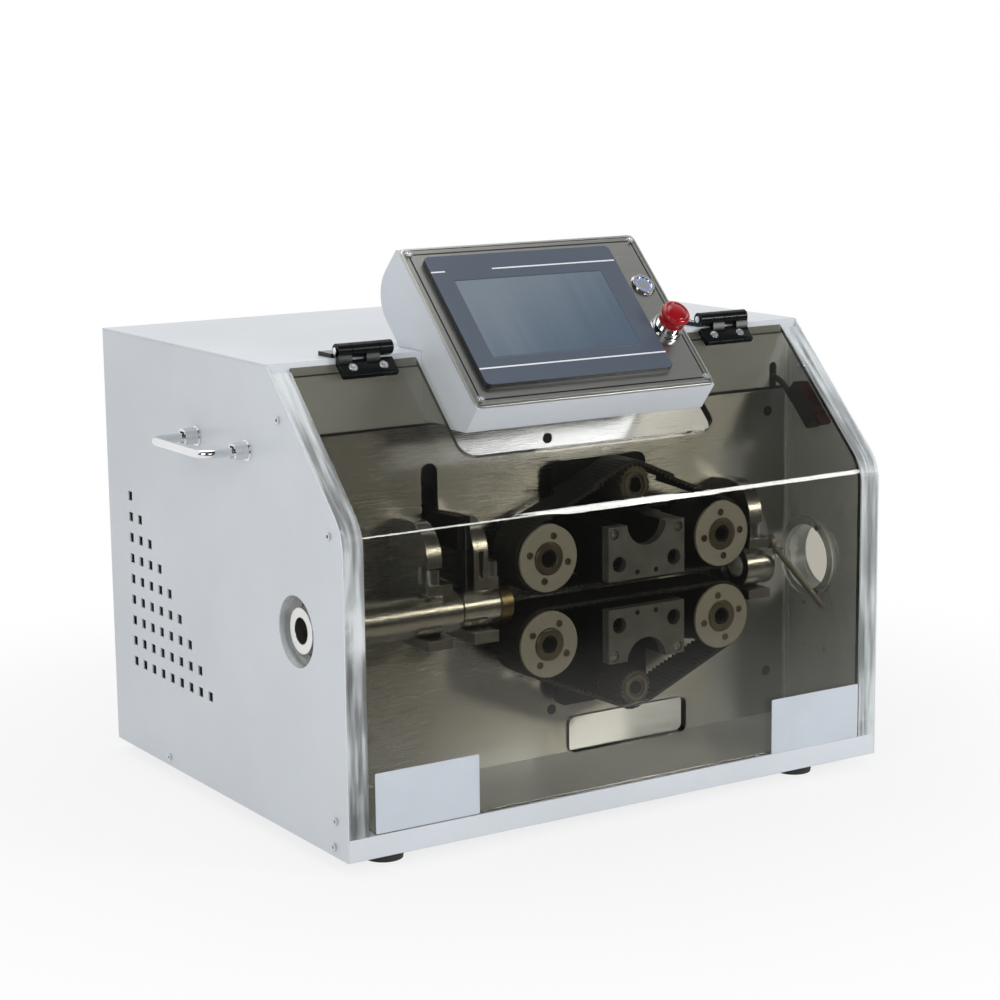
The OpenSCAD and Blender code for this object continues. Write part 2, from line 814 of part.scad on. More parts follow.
module power_button_body() {
    place() color("silver") on_panel(power_x, power_v, 0) difference() {
        union() {
            cylinder(h = 2.6, d1 = power_rim_d, d2 = power_rim_d - 3);
            translate([0, 0, -28]) cylinder(h = 28, d = power_hole_d);
        }
        translate([0, 0, -12]) cylinder(h = 16, d = power_cap_d + 2 * run_gap);
    }
}

module power_button() {
    place() color("dodgerblue") on_panel(power_x, power_v, 0)
        translate([0, 0, -12 + power_travel + seat_gap])
            cylinder(h = 12 + 1.4 - power_travel, d = power_cap_d);
}

module estop_body() {
    place() color("silver") on_panel(estop_x, estop_v, 0) difference() {
        union() {
            cylinder(h = 1.5, d = estop_d + 3);
            cylinder(h = estop_collar_h, d = estop_d);
            translate([0, 0, -estop_deep - 12]) cylinder(h = estop_deep + 12, d = estop_hole_d);
        }
        translate([0, 0, -estop_deep])
            cylinder(h = estop_deep + 10, d = estop_stem_d + 2 * run_gap);
    }
}

// Sliding stem with the thinner pin that the cap turns on
module estop_stem() {
    low = -estop_deep + estop_travel + seat_gap;
    place() color("dimgray") on_panel(estop_x, estop_v, 0) {
        translate([0, 0, low]) cylinder(h = estop_rise - low, d = estop_stem_d);
        translate([0, 0, estop_rise - 1]) cylinder(h = 9, d = estop_pin_d);
    }
}

module estop_cap() {
    place() color("firebrick") on_panel(estop_x, estop_v, estop_rise + seat_gap) difference() {
        union() {
            cylinder(h = estop_head_h - 4, d1 = estop_d - 7, d2 = estop_d);
            translate([0, 0, estop_head_h - 4]) cylinder(h = 4, d1 = estop_d, d2 = estop_d - 4);
        }
        translate([0, 0, -1]) cylinder(h = 9.5, d = estop_pin_d + 2 * run_gap);
    }
}

// Folding handles

module ferrule() {
    x0 = -half_w;
    slot_h = ferrule_d / 2 + handle_lug_d / 2 + seat_gap;
    difference() {
        union() {
            rod_x(x0 - ferrule_l, x0, ferrule_d);
            rod_x(x0 - ferrule_rim, x0, ferrule_d + 2 * ferrule_rim);
            rod_x(x0 - 1, x0 + sheet_t + 6, handle_stud_d);
        }
        translate([x0 - ferrule_l - 1, -rod_d / 2 - seat_gap, -ferrule_d / 2 - 2])
            cube([ferrule_l - 1, rod_d + 2 * seat_gap, slot_h + 2]);
        translate([x0 - handle_pivot, 0, 0]) rod_y(-ferrule_d, ferrule_d, handle_pin_d);
    }
    translate([x0 - handle_pivot, 0, 0])
        rod_y(-ferrule_d / 2 + 0.6, ferrule_d / 2 - 0.6, handle_pin_d);
}

module handle_ferrules() {
    place() color("silver") both_sides() for (s = [-1, 1])
        translate([0, handle_y + s * handle_span / 2, handle_z]) ferrule();
}

module side_handle() {
    px = -half_w - handle_pivot;
    bar_x = -half_w - handle_out;
    half = handle_span / 2;
    translate([0, handle_y, handle_z]) difference() {
        union() {
            for (s = [-1, 1]) {
                translate([0, s * half, 0]) {
                    rod_x(bar_x + handle_bend, px, rod_d);
                    translate([px, 0, 0]) rod_y(-handle_lug_l / 2, handle_lug_l / 2, handle_lug_d);
                }
                translate([bar_x + handle_bend, s * (half - handle_bend), 0])
                    rotate([0, 0, s > 0 ? 90 : 180]) rotate_extrude(angle = 90)
                        translate([handle_bend, 0]) circle(d = rod_d);
            }
            translate([bar_x, 0, 0]) rod_y(-half + handle_bend, half - handle_bend, rod_d);
        }
        for (s = [-1, 1]) translate([px, s * half, 0])
            rod_y(-rod_d, rod_d, handle_pin_d + 2 * run_gap);
    }
}

module left_handle() {
    place() color("gainsboro") side_handle();
}

module right_handle() {
    place() color("gainsboro") mirror([1, 0, 0]) side_handle();
}

// Smoked cover, with its moving leaves and the interlock key

// Turns the slope into a flat: s runs up the slope from the knee, w out of the cover
module on_slope(s, w) {
    translate([0, cover_y, knee_z]) rotate([45, 0, 0]) translate([0, s, w]) children();
}

// Point of the slope in the YZ plane, s up from the knee and w out of the cover
function slope_point(s, w) = [cover_y + (s - w) * sin(45), knee_z + (s + w) * sin(45)];

// Outline of the bent cover, cut upright at its top end
module cover_2d() {
    end_y = cover_end_y - cover_y;
    polygon(concat([[0, cover_low]], knee_arc(0),
        [[end_y, knee_z + end_y], [end_y, knee_z + end_y - cover_t * sqrt(2)]],
        [for (i = [10:-1:0]) knee_arc(cover_t)[i]], [[cover_t, cover_low]]));
}

module smoked_cover() {
    place() color("dimgray", 0.6) difference() {
        translate([0, cover_y, 0]) along_x(-cover_half, cover_half) cover_2d();
        on_slope(0, -cover_t - 5) linear_extrude(cover_t + 10) {
            translate([notch_left, notch_s + notch_r])
                square([notch_right - notch_left, 200]);
            translate([notch_left + notch_r, notch_s])
                square([notch_right - notch_left - 2 * notch_r, 200]);
            for (x = [notch_left + notch_r, notch_right - notch_r])
                translate([x, notch_s + notch_r]) circle(notch_r);
        }
        along_y(-5, cover_t + 5) translate([0, finger_z]) round_rect(finger_w, finger_h, finger_r);
    }
}

module hinge_leaves() {
    end_s = (cover_end_y - cover_y) * sqrt(2);
    axis_s = ((hinge_y - cover_y) + (hinge_z - knee_z)) / sqrt(2);
    axis_w = ((hinge_z - knee_z) - (hinge_y - cover_y)) / sqrt(2);
    place() color("black") both_sides() {
        knuckles(1) polygon([slope_point(end_s - 8, 0), slope_point(end_s, 0),
            slope_point(axis_s - 3.5, axis_w - 5), slope_point(axis_s, axis_w),
            slope_point(axis_s - 5, axis_w + 3.5), slope_point(end_s - 8, hinge_leaf_t)]);
        translate([hinge_x - hinge_w / 2, 0, 0])
            on_slope(end_s - hinge_leaf_l, 0) cube([hinge_w, hinge_leaf_l, hinge_leaf_t]);
    }
}

module switch_key() {
    place() color("maroon") translate([window_in - switch_w - 1, 0, 0])
        on_slope(key_s - key_l / 2, -cover_t - key_t) cube([switch_w - 1, key_l, key_t]);
}

module safety_switch() {
    place() color("black") translate([window_in - switch_w, 0, 0])
        on_slope(switch_s - switch_l / 2, switch_w_at - switch_t / 2)
            cube([switch_w, switch_l, switch_t]);
}

// Smooth curve through the points of the lead's route
function route_point(p, i, t) = let (
        a = p[max(i - 1, 0)], b = p[i], c = p[min(i + 1, len(p) - 1)], d = p[min(i + 2, len(p) - 1)])
    0.5 * (2 * b + (c - a) * t + (2 * a - 5 * b + 4 * c - d) * t * t
        + (3 * b - a - 3 * c + d) * t * t * t);
function route_curve(p, steps) = concat(
    [for (i = [0:len(p) - 2], k = [0:steps - 1]) route_point(p, i, k / steps)], [p[len(p) - 1]]);
function unit(v) = v / norm(v);

// Tube swept along the route, with closed ends
module swept_tube(points, d, sides) {
    n = len(points);
    side_axis = [1, 0, 0];
    rings = [for (i = [0:n - 1]) let (
            dir = unit(points[min(i + 1, n - 1)] - points[max(i - 1, 0)]),
            u = unit(cross(dir, side_axis)), v = cross(u, dir))
        for (k = [0:sides - 1]) let (a = 360 * k / sides)
            points[i] + d / 2 * (cos(a) * u + sin(a) * v)];
    walls = [for (i = [0:n - 2], k = [0:sides - 1]) let (m = (k + 1) % sides)
        [i * sides + k, i * sides + m, (i + 1) * sides + m, (i + 1) * sides + k]];
    polyhedron(rings, concat(walls, [[for (k = [sides - 1:-1:0]) k],
        [for (k = [0:sides - 1]) (n - 1) * sides + k]]));
}

module switch_cable() {
    place() color("black") swept_tube(route_curve(lead_route, lead_steps), lead_d, lead_sides);
}

// Belt feed: side is 1 for the upper unit and -1 for the lower one

module feed_unit(side) {
    translate([feed_x, 0, tube_z]) scale([1, 1, side]) children();
}

module carriage() {
    difference() {
        union() {
            along_y(carriage_y, carriage_back) {
                translate([0, roller_rise - 1]) round_rect(roller_pitch + 50, 44, 10);
                translate([-6, (roller_rise + carriage_top) / 2])
                    round_rect(carriage_w, carriage_top - roller_rise, 9);
            }
            for (s = [-1, 1]) translate([s * roller_pitch / 2, 0, roller_rise])
                rod_y(carriage_back - 1, plate_y + plate_t + 1, boss_d);
            translate([roller_pitch / 2, 0, roller_rise])
                rod_y(plate_y + plate_t, motor_y, boss_d);
            translate([-roller_pitch / 2, 0, roller_rise]) rod_y(roller_y + 2, carriage_y + 1, axle_d);
            translate([0, 0, idler_rise]) rod_y(roller_y + 2, carriage_y + 1, axle_d);
        }
        translate([roller_pitch / 2, 0, roller_rise])
            rod_y(carriage_y - 1, motor_y + 1, axle_d + 2 * run_gap);
    }
}

module pressure_block() {
    top = block_lift + block_h;
    difference() {
        translate([-block_w / 2, block_front, block_lift])
            cube([block_w, carriage_y - block_front, block_h]);
        translate([0, 0, top + 1.5]) rod_y(block_front - 1, carriage_y + 1, 2 * block_notch_r, $fn = 72);
        for (s = [-1, 1]) {
            translate([s * 31, 0, block_lift + 15.5]) {
                rod_y(block_front - 1, block_front + 12, 15);
                rod_y(block_front, carriage_y + 1, 9);
            }
            translate([s * 10.5, 0, block_lift + 6]) rod_y(block_front - 1, block_front + 20, 5);
            translate([s * (block_w / 2 - 7), 0, top - 7]) rod_y(block_front - 1, block_front + 8, 10);
        }
    }
}

// Outline of the space inside the belt, or of the belt's outer face with extra = belt_t
module belt_loop(extra) {
    hull() {
        for (s = [-1, 1]) translate([s * roller_pitch / 2, roller_rise])
            circle(belt_in_r + extra, $fn = 64);
        translate([0, idler_rise]) circle(idler_in_r + extra, $fn = 48);
    }
}

module belt() {
    along_y(belt_y, belt_y + belt_w) difference() {
        belt_loop(belt_t);
        belt_loop(0);
    }
}

module roller(shaft) {
    difference() {
        union() {
            rod_y(roller_y, roller_y + flange_t, flange_d);
            rod_y(roller_y, roller_y + roller_l, roller_core_d);
            rod_y(roller_y + roller_l - flange_t, roller_y + roller_l, flange_d);
            rod_y(roller_y - 1.5, roller_y + 1, hub_d);
            if (shaft) rod_y(roller_y + roller_l - 1, motor_y + 22, axle_d);
        }
        if (shaft) rod_y(roller_y - 2, roller_y + 4, axle_d + 2);
        else rod_y(roller_y - 2, roller_y + roller_l + 1, axle_d + 2 * run_gap);
    }
}

module at_roller(s) {
    translate([s * roller_pitch / 2, 0, roller_rise]) children();
}

module idler() {
    translate([0, 0, idler_rise]) difference() {
        union() {
            rod_y(belt_y - 1, belt_y + belt_w + 1, idler_core_d);
            rod_y(belt_y - 3, belt_y, 25);
        }
        rod_y(belt_y - 4, belt_y + belt_w + 2, axle_d + 2 * run_gap);
    }
}

module feed_motor() {
    difference() {
        translate([roller_pitch / 2, 0, roller_rise]) along_y(motor_y, motor_y + motor_l)
            round_rect(motor_w, motor_w, 5);
        translate([roller_pitch / 2, 0, roller_rise])
            rod_y(motor_y - 1, motor_y + 24, axle_d + 2 * run_gap);
    }
}

module upper_carriage() {
    place() color("#26282a") feed_unit(1) carriage();
}

module upper_block() {
    place() color("gray") feed_unit(1) pressure_block();
}

module upper_belt() {
    place() color("#1c1d1c") feed_unit(1) belt();
}

module upper_motor() {
    place() color("#202124") feed_unit(1) feed_motor();
}

module upper_left_roller() {
    place() color("silver") feed_unit(1) at_roller(-1) roller(false);
}

module upper_right_roller() {
    place() color("silver") feed_unit(1) at_roller(1) roller(true);
}

module upper_idler() {
    place() color("darkgray") feed_unit(1) idler();
}

module lower_carriage() {
    place() color("#26282a") feed_unit(-1) carriage();
}

module lower_block() {
    place() color("gray") feed_unit(-1) pressure_block();
}

module lower_belt() {
    place() color("#1c1d1c") feed_unit(-1) belt();
}

module lower_motor() {
    place() color("#202124") feed_unit(-1) feed_motor();
}

module lower_left_roller() {
    place() color("silver") feed_unit(-1) at_roller(-1) roller(false);
}

module lower_right_roller() {
    place() color("silver") feed_unit(-1) at_roller(1) roller(true);
}

module lower_idler() {
    place() color("darkgray") feed_unit(-1) idler();
}

// Blade and its slide

// Slider on the rail, with the arm that reaches through the plate and clamps the blade
module blade_carriage() {
    place() color("dimgray") difference() {
        union() {
            translate([slider_x[0], plate_y + plate_t + 3, slider_z[0]])
                cube([slider_x[1] - slider_x[0], 50, slider_z[1] - slider_z[0]]);
            translate([slot_x - arm_w / 2, blade_front + 2, arm_low])
                cube([arm_w, plate_y + plate_t + 8 - blade_front, arm_h]);
        }
        translate([blade_x - blade_t / 2, blade_front - 1, arm_low - 1])
            cube([blade_t, blade_back + 1 - blade_front, arm_h + 2]);
        translate([rail_x - rail_w / 2 - run_gap, plate_y, slider_z[0] - 1])
            cube([rail_w + 2 * run_gap, plate_t + rail_t + run_gap, slider_z[1] - slider_z[0] + 2]);
        translate([screw_x, screw_y, slider_z[0] - 1])
            cylinder(h = slider_z[1] - slider_z[0] + 2, d = screw_d + 2 * run_gap);
    }
}

// The blade's edge rises towards the back, so that its front corner cuts first
module cutting_blade() {
    place() color("gainsboro") along_x(blade_x - blade_t / 2, blade_x + blade_t / 2)
        polygon([[blade_front, blade_edge], [blade_back, blade_edge + blade_rake],
            [blade_back, arm_low + arm_h - 4], [blade_front, arm_low + arm_h - 4]]);
}

module cutter_rail() {
    place() color("silver") translate([rail_x - rail_w / 2, plate_y + plate_t, rail_low])
        cube([rail_w, rail_t, rail_high - rail_low]);
}

// Shelf over the cutter motor, and the block that holds the top of the screw
module cutter_supports() {
    place() color("dimgray") {
        difference() {
            translate([screw_x - shelf_w / 2, plate_y + plate_t, shelf_z])
                cube([shelf_w, shelf_w, shelf_t]);
            translate([screw_x, screw_y, shelf_z - 5])
                cylinder(h = shelf_t + 10, d = screw_d + 2 * run_gap);
        }
        difference() {
            translate([screw_x - screw_block_w / 2, plate_y + plate_t + frame_bar,
                bar_high_z - frame_bar / 2]) cube([screw_block_w, screw_block_l, frame_bar]);
            translate([screw_x, screw_y, bar_high_z - frame_bar])
                cylinder(h = 2 * frame_bar, d = screw_d + 2 * run_gap);
        }
    }
}

module cutter_motor() {
    place() color("#202124") difference() {
        translate([screw_x, screw_y, shelf_z - motor_l]) linear_extrude(motor_l)
            round_rect(motor_w, motor_w, 5);
        translate([screw_x, screw_y, shelf_z - 24])
            cylinder(h = 30, d = screw_d + 2 * run_gap);
    }
}

module cutter_screw() {
    place() color("lightgray") translate([screw_x, screw_y, shelf_z - 22])
        cylinder(h = bar_high_z + 14 - shelf_z + 22, d = screw_d);
}

// Electric boxes

module power_supply() {
    place() color("darkgray") translate(supply_at) cube(supply_size);
}

module motor_drivers() {
    place() color("#303438") for (i = [0:2])
        translate(driver_at + [i * driver_pitch, 0, 0]) cube(driver_size);
}

module controller() {
    place() color("#2c4034") translate(controller_at) cube(controller_size);
}

module power_inlet() {
    place() color("#101112") translate([inlet_x, 0, inlet_z]) difference() {
        union() {
            along_y(body_d, body_d + inlet_flange_t) round_rect(inlet_w, inlet_h, 4);
            along_y(body_d - inlet_depth, body_d) round_rect(inlet_body_w, inlet_body_h, 3);
        }
        along_y(body_d - inlet_depth + 4, body_d + inlet_flange_t + 1)
            round_rect(inlet_body_w - 3, inlet_body_h - 3, 2);
    }
}

base_pan();
left_side_panel();
right_side_panel();
top_panel();
rear_panel();
inner_frame();
rubber_feet();
cabinet_screws();
left_window();
right_window();
mounting_plate();
inlet_ring();
outlet_tube();
tube_bushes();
bush_flange();
tube_brackets();
socket_screws();
hinge_bases();
panel_housing();
panel_plate();
touch_screen();
screen_glass();
power_button_body();
estop_body();
handle_ferrules();
safety_switch();
switch_cable();
cutter_rail();
cutter_motor();
cutter_supports();
power_supply();
motor_drivers();
controller();
power_inlet();
smoked_cover();
hinge_leaves();
switch_key();
upper_carriage();
upper_block();
upper_belt();
upper_motor();
upper_left_roller();
upper_right_roller();
upper_idler();
lower_carriage();
lower_block();
lower_belt();
lower_motor();
lower_left_roller();
lower_right_roller();
lower_idler();
blade_carriage();
cutting_blade();
cutter_screw();
guide_lever();
left_handle();
right_handle();
estop_stem();
estop_cap();
power_button();
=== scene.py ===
"""Looks of the tube cutting machine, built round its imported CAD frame.

Shapes are given in the cabinet's millimetres: x from the middle, y back from the front face,
z up from the cabinet's underside. add_piece moves them into the frame's metres.
"""
import json
import bmesh
import bpy
import numpy as np
from mathutils import Matrix, Vector
from mathutils.geometry import delaunay_2d_cdt


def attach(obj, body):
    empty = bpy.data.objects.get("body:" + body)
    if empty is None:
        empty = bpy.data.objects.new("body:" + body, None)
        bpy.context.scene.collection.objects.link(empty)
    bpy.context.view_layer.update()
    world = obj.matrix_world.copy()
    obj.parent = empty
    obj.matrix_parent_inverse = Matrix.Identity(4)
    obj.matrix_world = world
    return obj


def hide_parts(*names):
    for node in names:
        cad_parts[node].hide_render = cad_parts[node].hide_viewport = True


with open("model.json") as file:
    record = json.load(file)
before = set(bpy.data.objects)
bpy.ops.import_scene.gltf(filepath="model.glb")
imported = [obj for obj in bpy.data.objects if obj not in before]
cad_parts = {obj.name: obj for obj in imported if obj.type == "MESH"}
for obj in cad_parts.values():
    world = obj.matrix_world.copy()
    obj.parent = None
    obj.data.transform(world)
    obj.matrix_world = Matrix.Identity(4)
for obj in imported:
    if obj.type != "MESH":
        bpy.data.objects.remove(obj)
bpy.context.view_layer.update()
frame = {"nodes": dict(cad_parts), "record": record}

# Sizes repeated from the CAD source, in millimetres
FOOT_H = 12.0
ORIGIN_Y = 239.75
BODY_H = 416.0
BODY_D = 477.0
PLATE_Y = 122.0
TUBE_Z = 187.0
FEED_X = 48.5
ROLLER_OUT = 98.5
ROLLER_RISE = 40.0
IDLER_RISE = 96.0
ROLLER_Y = 58.0
ROLLER_L = 48.0
BELT_Y = 62.0
BELT_W = 40.0
BELT_T = 4.7
BELT_ON_ROLLER_R = 29.3
BELT_ON_IDLER_R = 17.3
COVER_HALF = 272.4
COVER_Y = 1.0
COVER_LOW = 20.6
COVER_CORNER = 10.0
COVER_END_Y = 125.5
COVER_T = 8.0
KNEE_Z = 287.0
KNEE_R = 43.0
KNEE_TANGENT = KNEE_R * np.tan(np.pi / 8)
HINGE_X = 199.0
HINGE_W = 56.0
HINGE_PIN = (125.0, 423.1)
KNUCKLE_GAP = 0.4
LEAF_T = 5.0
PANEL = (-8.5, 98.1, 440.6)
PANEL_TILT = np.radians(44.5)
WINDOW_IN = 273.0

# The cover's panel notch: left, right, its base up the slope and corner radius.
# Its finger window: half width, low and high edge, and corner radius
NOTCH = (-144.5, 134.0, 63.0, 15.0)
FINGER = (65.0, 59.5, 92.5, 6.0)

# On the control panel: middle, width and height of the bezel and of its glass, middles of the two buttons
BEZEL = (-11.2, 2.1, 204.0, 150.0)
GLASS = (-12.8, 1.8, 160.7, 89.4)
POWER = (109.8, 29.2)
ESTOP = (108.6, -24.5)

# Sizes of the scene's own pieces, in millimetres, and the idlers' count of teeth
END_S = (COVER_END_Y - COVER_Y) * np.sqrt(2)
LEAF_L = 18.0
PANEL_FACE_LOW = -1.9
PANEL_FACE_TOP = -0.2
POWER_HOLE_R = 9.6
ESTOP_HOLE_R = 11.1
ROLLER_SCREWS_R = 21.2
IDLER_TEETH = 20
BELT_PITCH = 5.08
BELT_TOOTH_H = 1.9

# Points round each corner of a rounded outline and round the whole of it, and the belt's points round
# each circle and along each tooth
CORNER_POINTS = 7
OUTLINE_POINTS = 4 * CORNER_POINTS
ARC_POINTS = 60
TOOTH_POINTS = 8

# How near points are merged and how thin slivers are dropped, in metres, and where an edge counts as hard
MERGE = 2e-6
SLIVER = 1e-7
HARD_EDGE = np.radians(35)
BEVELLED_EDGE = np.radians(50)


# Shapes

def on_panel(points):
    """Moves x across, v up the slope and w out of the control panel into the cabinet."""
    x, v, w = np.moveaxis(np.asarray(points, float), -1, 0)
    cos, sin = np.cos(PANEL_TILT), np.sin(PANEL_TILT)
    return np.stack([PANEL[0] + x, PANEL[1] + v * cos - w * sin, PANEL[2] + v * sin + w * cos], -1)


def on_slope(points):
    """Moves x across, s up the slope from the knee and w out of the cover into the cabinet."""
    x, s, w = np.moveaxis(np.asarray(points, float), -1, 0)
    half = np.sqrt(0.5)
    return np.stack([x, COVER_Y + (s - w) * half, KNEE_Z + (s + w) * half], -1)


def aimed(points, centre, axis):
    """Turns points whose z is height and x, y the radius plane so that z runs along the axis."""
    ahead = np.asarray(axis, float) / np.linalg.norm(axis)
    across = np.cross([0.0, 0.0, 1.0] if abs(ahead[2]) < 0.9 else [0.0, 1.0, 0.0], ahead)
    across /= np.linalg.norm(across)
    turn = np.stack([across, np.cross(ahead, across), ahead])
    return np.asarray(points, float) @ turn + np.asarray(centre, float)


def grid_faces(rows, columns, closed_rows=False):
    """Four-sided faces of a grid of rows x columns points. Rows close round, and columns if asked."""
    last_row = rows if closed_rows else rows - 1
    i, j = np.meshgrid(np.arange(last_row), np.arange(columns), indexing="ij")
    up, on = (i + 1) % rows, (j + 1) % columns
    corners = [i * columns + j, i * columns + on, up * columns + on, up * columns + j]
    return np.stack(corners, -1).reshape(-1, 4)


def turned(profile, sides, waves=None):
    """Lathe shape round z: radius = the profile's, times waves(u) where given, and height = the profile's."""
    profile = np.asarray(profile, float)
    u = np.linspace(0, 2 * np.pi, sides, endpoint=False)
    radius = np.repeat(profile[:, :1], sides, 1)
    if waves is not None:
        radius = radius * waves(u)
    height = np.repeat(profile[:, 1:2], sides, 1)
    points = np.stack([radius * np.cos(u), radius * np.sin(u), height], -1)
    return points.reshape(-1, 3), grid_faces(len(profile), sides)


def rounded(width, height, radius):
    """Outline of a rectangle with round corners, anticlockwise: corner centre + radius (cos a, sin a)."""
    a = np.linspace(0, np.pi / 2, CORNER_POINTS) + np.pi / 2 * np.arange(4)[:, None]
    sign_x = np.array([1, -1, -1, 1])[:, None]
    sign_y = np.array([1, 1, -1, -1])[:, None]
    x = sign_x * (width / 2 - radius) + radius * np.cos(a)
    y = sign_y * (height / 2 - radius) + radius * np.sin(a)
    return np.stack([x.ravel(), y.ravel()], -1)


def stacked(levels):
    """Shape whose level k is a rounded rectangle: its width, height, corner radius, centre and height w."""
    rings = [np.column_stack([rounded(w, h, r) + (cx, cy), np.full(OUTLINE_POINTS, at)])
             for w, h, r, cx, cy, at in levels]
    return np.concatenate(rings), grid_faces(len(rings), OUTLINE_POINTS)


def closing_level(cx, cy, at):
    """Level drawn in almost to its centre, which closes a stack."""
    return 0.02, 0.02, 0.01, cx, cy, at


def plate_levels(width, height, corner, cx, cy, low, high, edge):
    """Levels of a flat plate from low to high whose upper edge is rounded by edge: cosine in, sine up."""
    a = np.linspace(0, np.pi / 2, 5)
    inset = edge * (1 - np.cos(a))
    rise = high - edge + edge * np.sin(a)
    levels = [closing_level(cx, cy, low), (width, height, corner, cx, cy, low)]
    levels += [(width - 2 * i, height - 2 * i, max(corner - i, 0.2), cx, cy, w) for i, w in zip(inset, rise)]
    return levels + [closing_level(cx, cy, high)]


def swept(route, radius, sides):
    """Tube round a route: point + radius (cos v n1 + sin v n2), n1 square to the route and x, ends closed."""
    route = np.asarray(route, float)
    run = np.gradient(route, axis=0)
    run /= np.linalg.norm(run, axis=1)[:, None]
    first = np.cross(run, [1.0, 0.0, 0.0])
    first /= np.linalg.norm(first, axis=1)[:, None]
    second = np.cross(run, first)
    v = np.linspace(0, 2 * np.pi, sides, endpoint=False)
    ring = first[:, None] * np.cos(v)[:, None] + second[:, None] * np.sin(v)[:, None]
    points = route[:, None] + np.broadcast_to(radius, len(route))[:, None, None] * ring
    start, end = (np.broadcast_to(route[k], (1, sides, 3)) for k in (0, -1))
    points = np.concatenate([start, points, end])
    return points.reshape(-1, 3), grid_faces(len(points), sides)


def smooth_route(points, steps):
    """Catmull-Rom curve through the points, steps to each span."""
    p = np.asarray(points, float)
    a, b, c, d = (p[np.clip(np.arange(len(p) - 1) + k, 0, len(p) - 1)][:, None] for k in (-1, 0, 1, 2))
    t = np.linspace(0, 1, steps, endpoint=False)[None, :, None]
    square, cube = 2 * a - 5 * b + 4 * c - d, 3 * b - a - 3 * c + d
    curve = 0.5 * (2 * b + (c - a) * t + square * t ** 2 + cube * t ** 3)
    return np.concatenate([curve.reshape(-1, 3), p[-1:]])


def hexagon(six_sided):
    """Radius factor that makes the chosen rows six-sided: cos 30 / cos(angle from a side's middle)."""
    def waves(u):
        side = np.cos(np.pi / 6) / np.cos(np.mod(u, np.pi / 3) - np.pi / 6)
        return np.where(np.asarray(six_sided, bool)[:, None], side[None], 1.0)
    return waves


def cap_screw(head_d, head_h):
    """Cap screw's head with its six-sided socket, standing on z = 0: a lathe shape of seven rows."""
    r, edge = head_d / 2, head_d * 0.05
    socket = head_d * 0.3
    profile = [(0, 0.45 * head_h), (socket, 0.5 * head_h), (socket, head_h), (r - edge, head_h),
               (r, head_h - edge), (r, -0.2), (0, -0.2)]
    return turned(profile, 24, hexagon([0, 1, 1, 0, 0, 0, 0]))


def placed(shell, centre, axis):
    """A shell with its origin at the centre and its z along the axis."""
    return aimed(shell[0], centre, axis), shell[1]


def joined(shells):
    """Several shells as one."""
    points, faces, start = [], [], 0
    for shell_points, shell_faces in shells:
        points.append(shell_points)
        faces.append(shell_faces + start)
        start += len(shell_points)
    return np.concatenate(points), np.concatenate(faces)


def screw_row(head_d, head_h, spots, axis):
    """Cap screws of one size at several spots, all along one axis."""
    return joined([placed(cap_screw(head_d, head_h), spot, axis) for spot in spots])


def extruded(outline, x0, x1):
    """Prism along x: the (y, z) outline at x0 and x1, each end closed on the outline's middle."""
    outline = np.asarray(outline, float)
    middle = np.broadcast_to(outline.mean(0), outline.shape)
    rows = [np.column_stack([np.full(len(outline), x), ring]) for x, ring in
            ((x0, middle), (x0, outline), (x1, outline), (x1, middle))]
    return np.concatenate(rows), grid_faces(4, len(outline))


def inside(loop, spots):
    """Which spots lie inside a convex outline that runs anticlockwise: those left of all its edges."""
    run = np.roll(loop, -1, 0) - loop
    to = spots[:, None] - loop
    return (run[:, 0] * to[..., 1] - run[:, 1] * to[..., 0] > 0).all(1)


def flat_face(outline, holes, at):
    """Flat face at one height: the triangles between a convex outline and its holes.

    A triangle is a four-sided face whose last two corners are at the same point, which add_piece merges.
    """
    loops = [outline] + holes
    starts = np.cumsum([0] + [len(loop) for loop in loops[:-1]])
    edges = np.concatenate([np.column_stack([np.arange(len(loop)), np.roll(np.arange(len(loop)), -1)]) + start
                            for loop, start in zip(loops, starts)])
    corners = [Vector(spot) for spot in np.concatenate(loops).tolist()]
    found = delaunay_2d_cdt(corners, edges.tolist(), [], 0, 1e-6)
    spots, triangles = np.array([tuple(spot) for spot in found[0]]), np.array(found[2])
    middle = spots[triangles].mean(1)
    for hole in holes:
        keep = ~inside(hole, middle)
        triangles, middle = triangles[keep], middle[keep]
    points = np.column_stack([spots, np.full(len(spots), at)])
    return np.concatenate([points, points]), np.column_stack([triangles, triangles[:, 2] + len(points)])


def add_piece(name, shell, body, slot, replaces=(), finish=None, bevel=0.0):
    """One mesh in the frame's metres, its doubles merged and its faces turned outwards, riding on a body.

    It has the finish of its slot, or the one that is named.
    """
    points, faces = shell
    points = (np.asarray(points, float) - (0, ORIGIN_Y, -FOOT_H)) / 1000
    mesh = bpy.data.meshes.new(name)
    mesh.from_pydata(points.tolist(), [], faces.tolist())
    work = bmesh.new()
    work.from_mesh(mesh)
    bmesh.ops.delete(work, geom=[v for v in work.verts if not v.link_faces], context="VERTS")
    bmesh.ops.remove_doubles(work, verts=work.verts, dist=MERGE)
    bmesh.ops.dissolve_degenerate(work, edges=work.edges, dist=SLIVER)
    bmesh.ops.recalc_face_normals(work, faces=work.faces)
    work.to_mesh(mesh)
    work.free()
    mesh.shade_smooth()
    mesh.set_sharp_from_angle(angle=HARD_EDGE)
    piece = bpy.data.objects.new(name, mesh)
    bpy.context.scene.collection.objects.link(piece)
    mesh.materials.append(finishes[finish or slot])
    if bevel:
        rim = piece.modifiers.new("rim", "BEVEL")
        rim.width = bevel / 1000
        rim.segments = 2
        rim.angle_limit = BEVELLED_EDGE
        rim.harden_normals = True
    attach(piece, body)
    if replaces:
        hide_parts(*replaces)


# Finishes

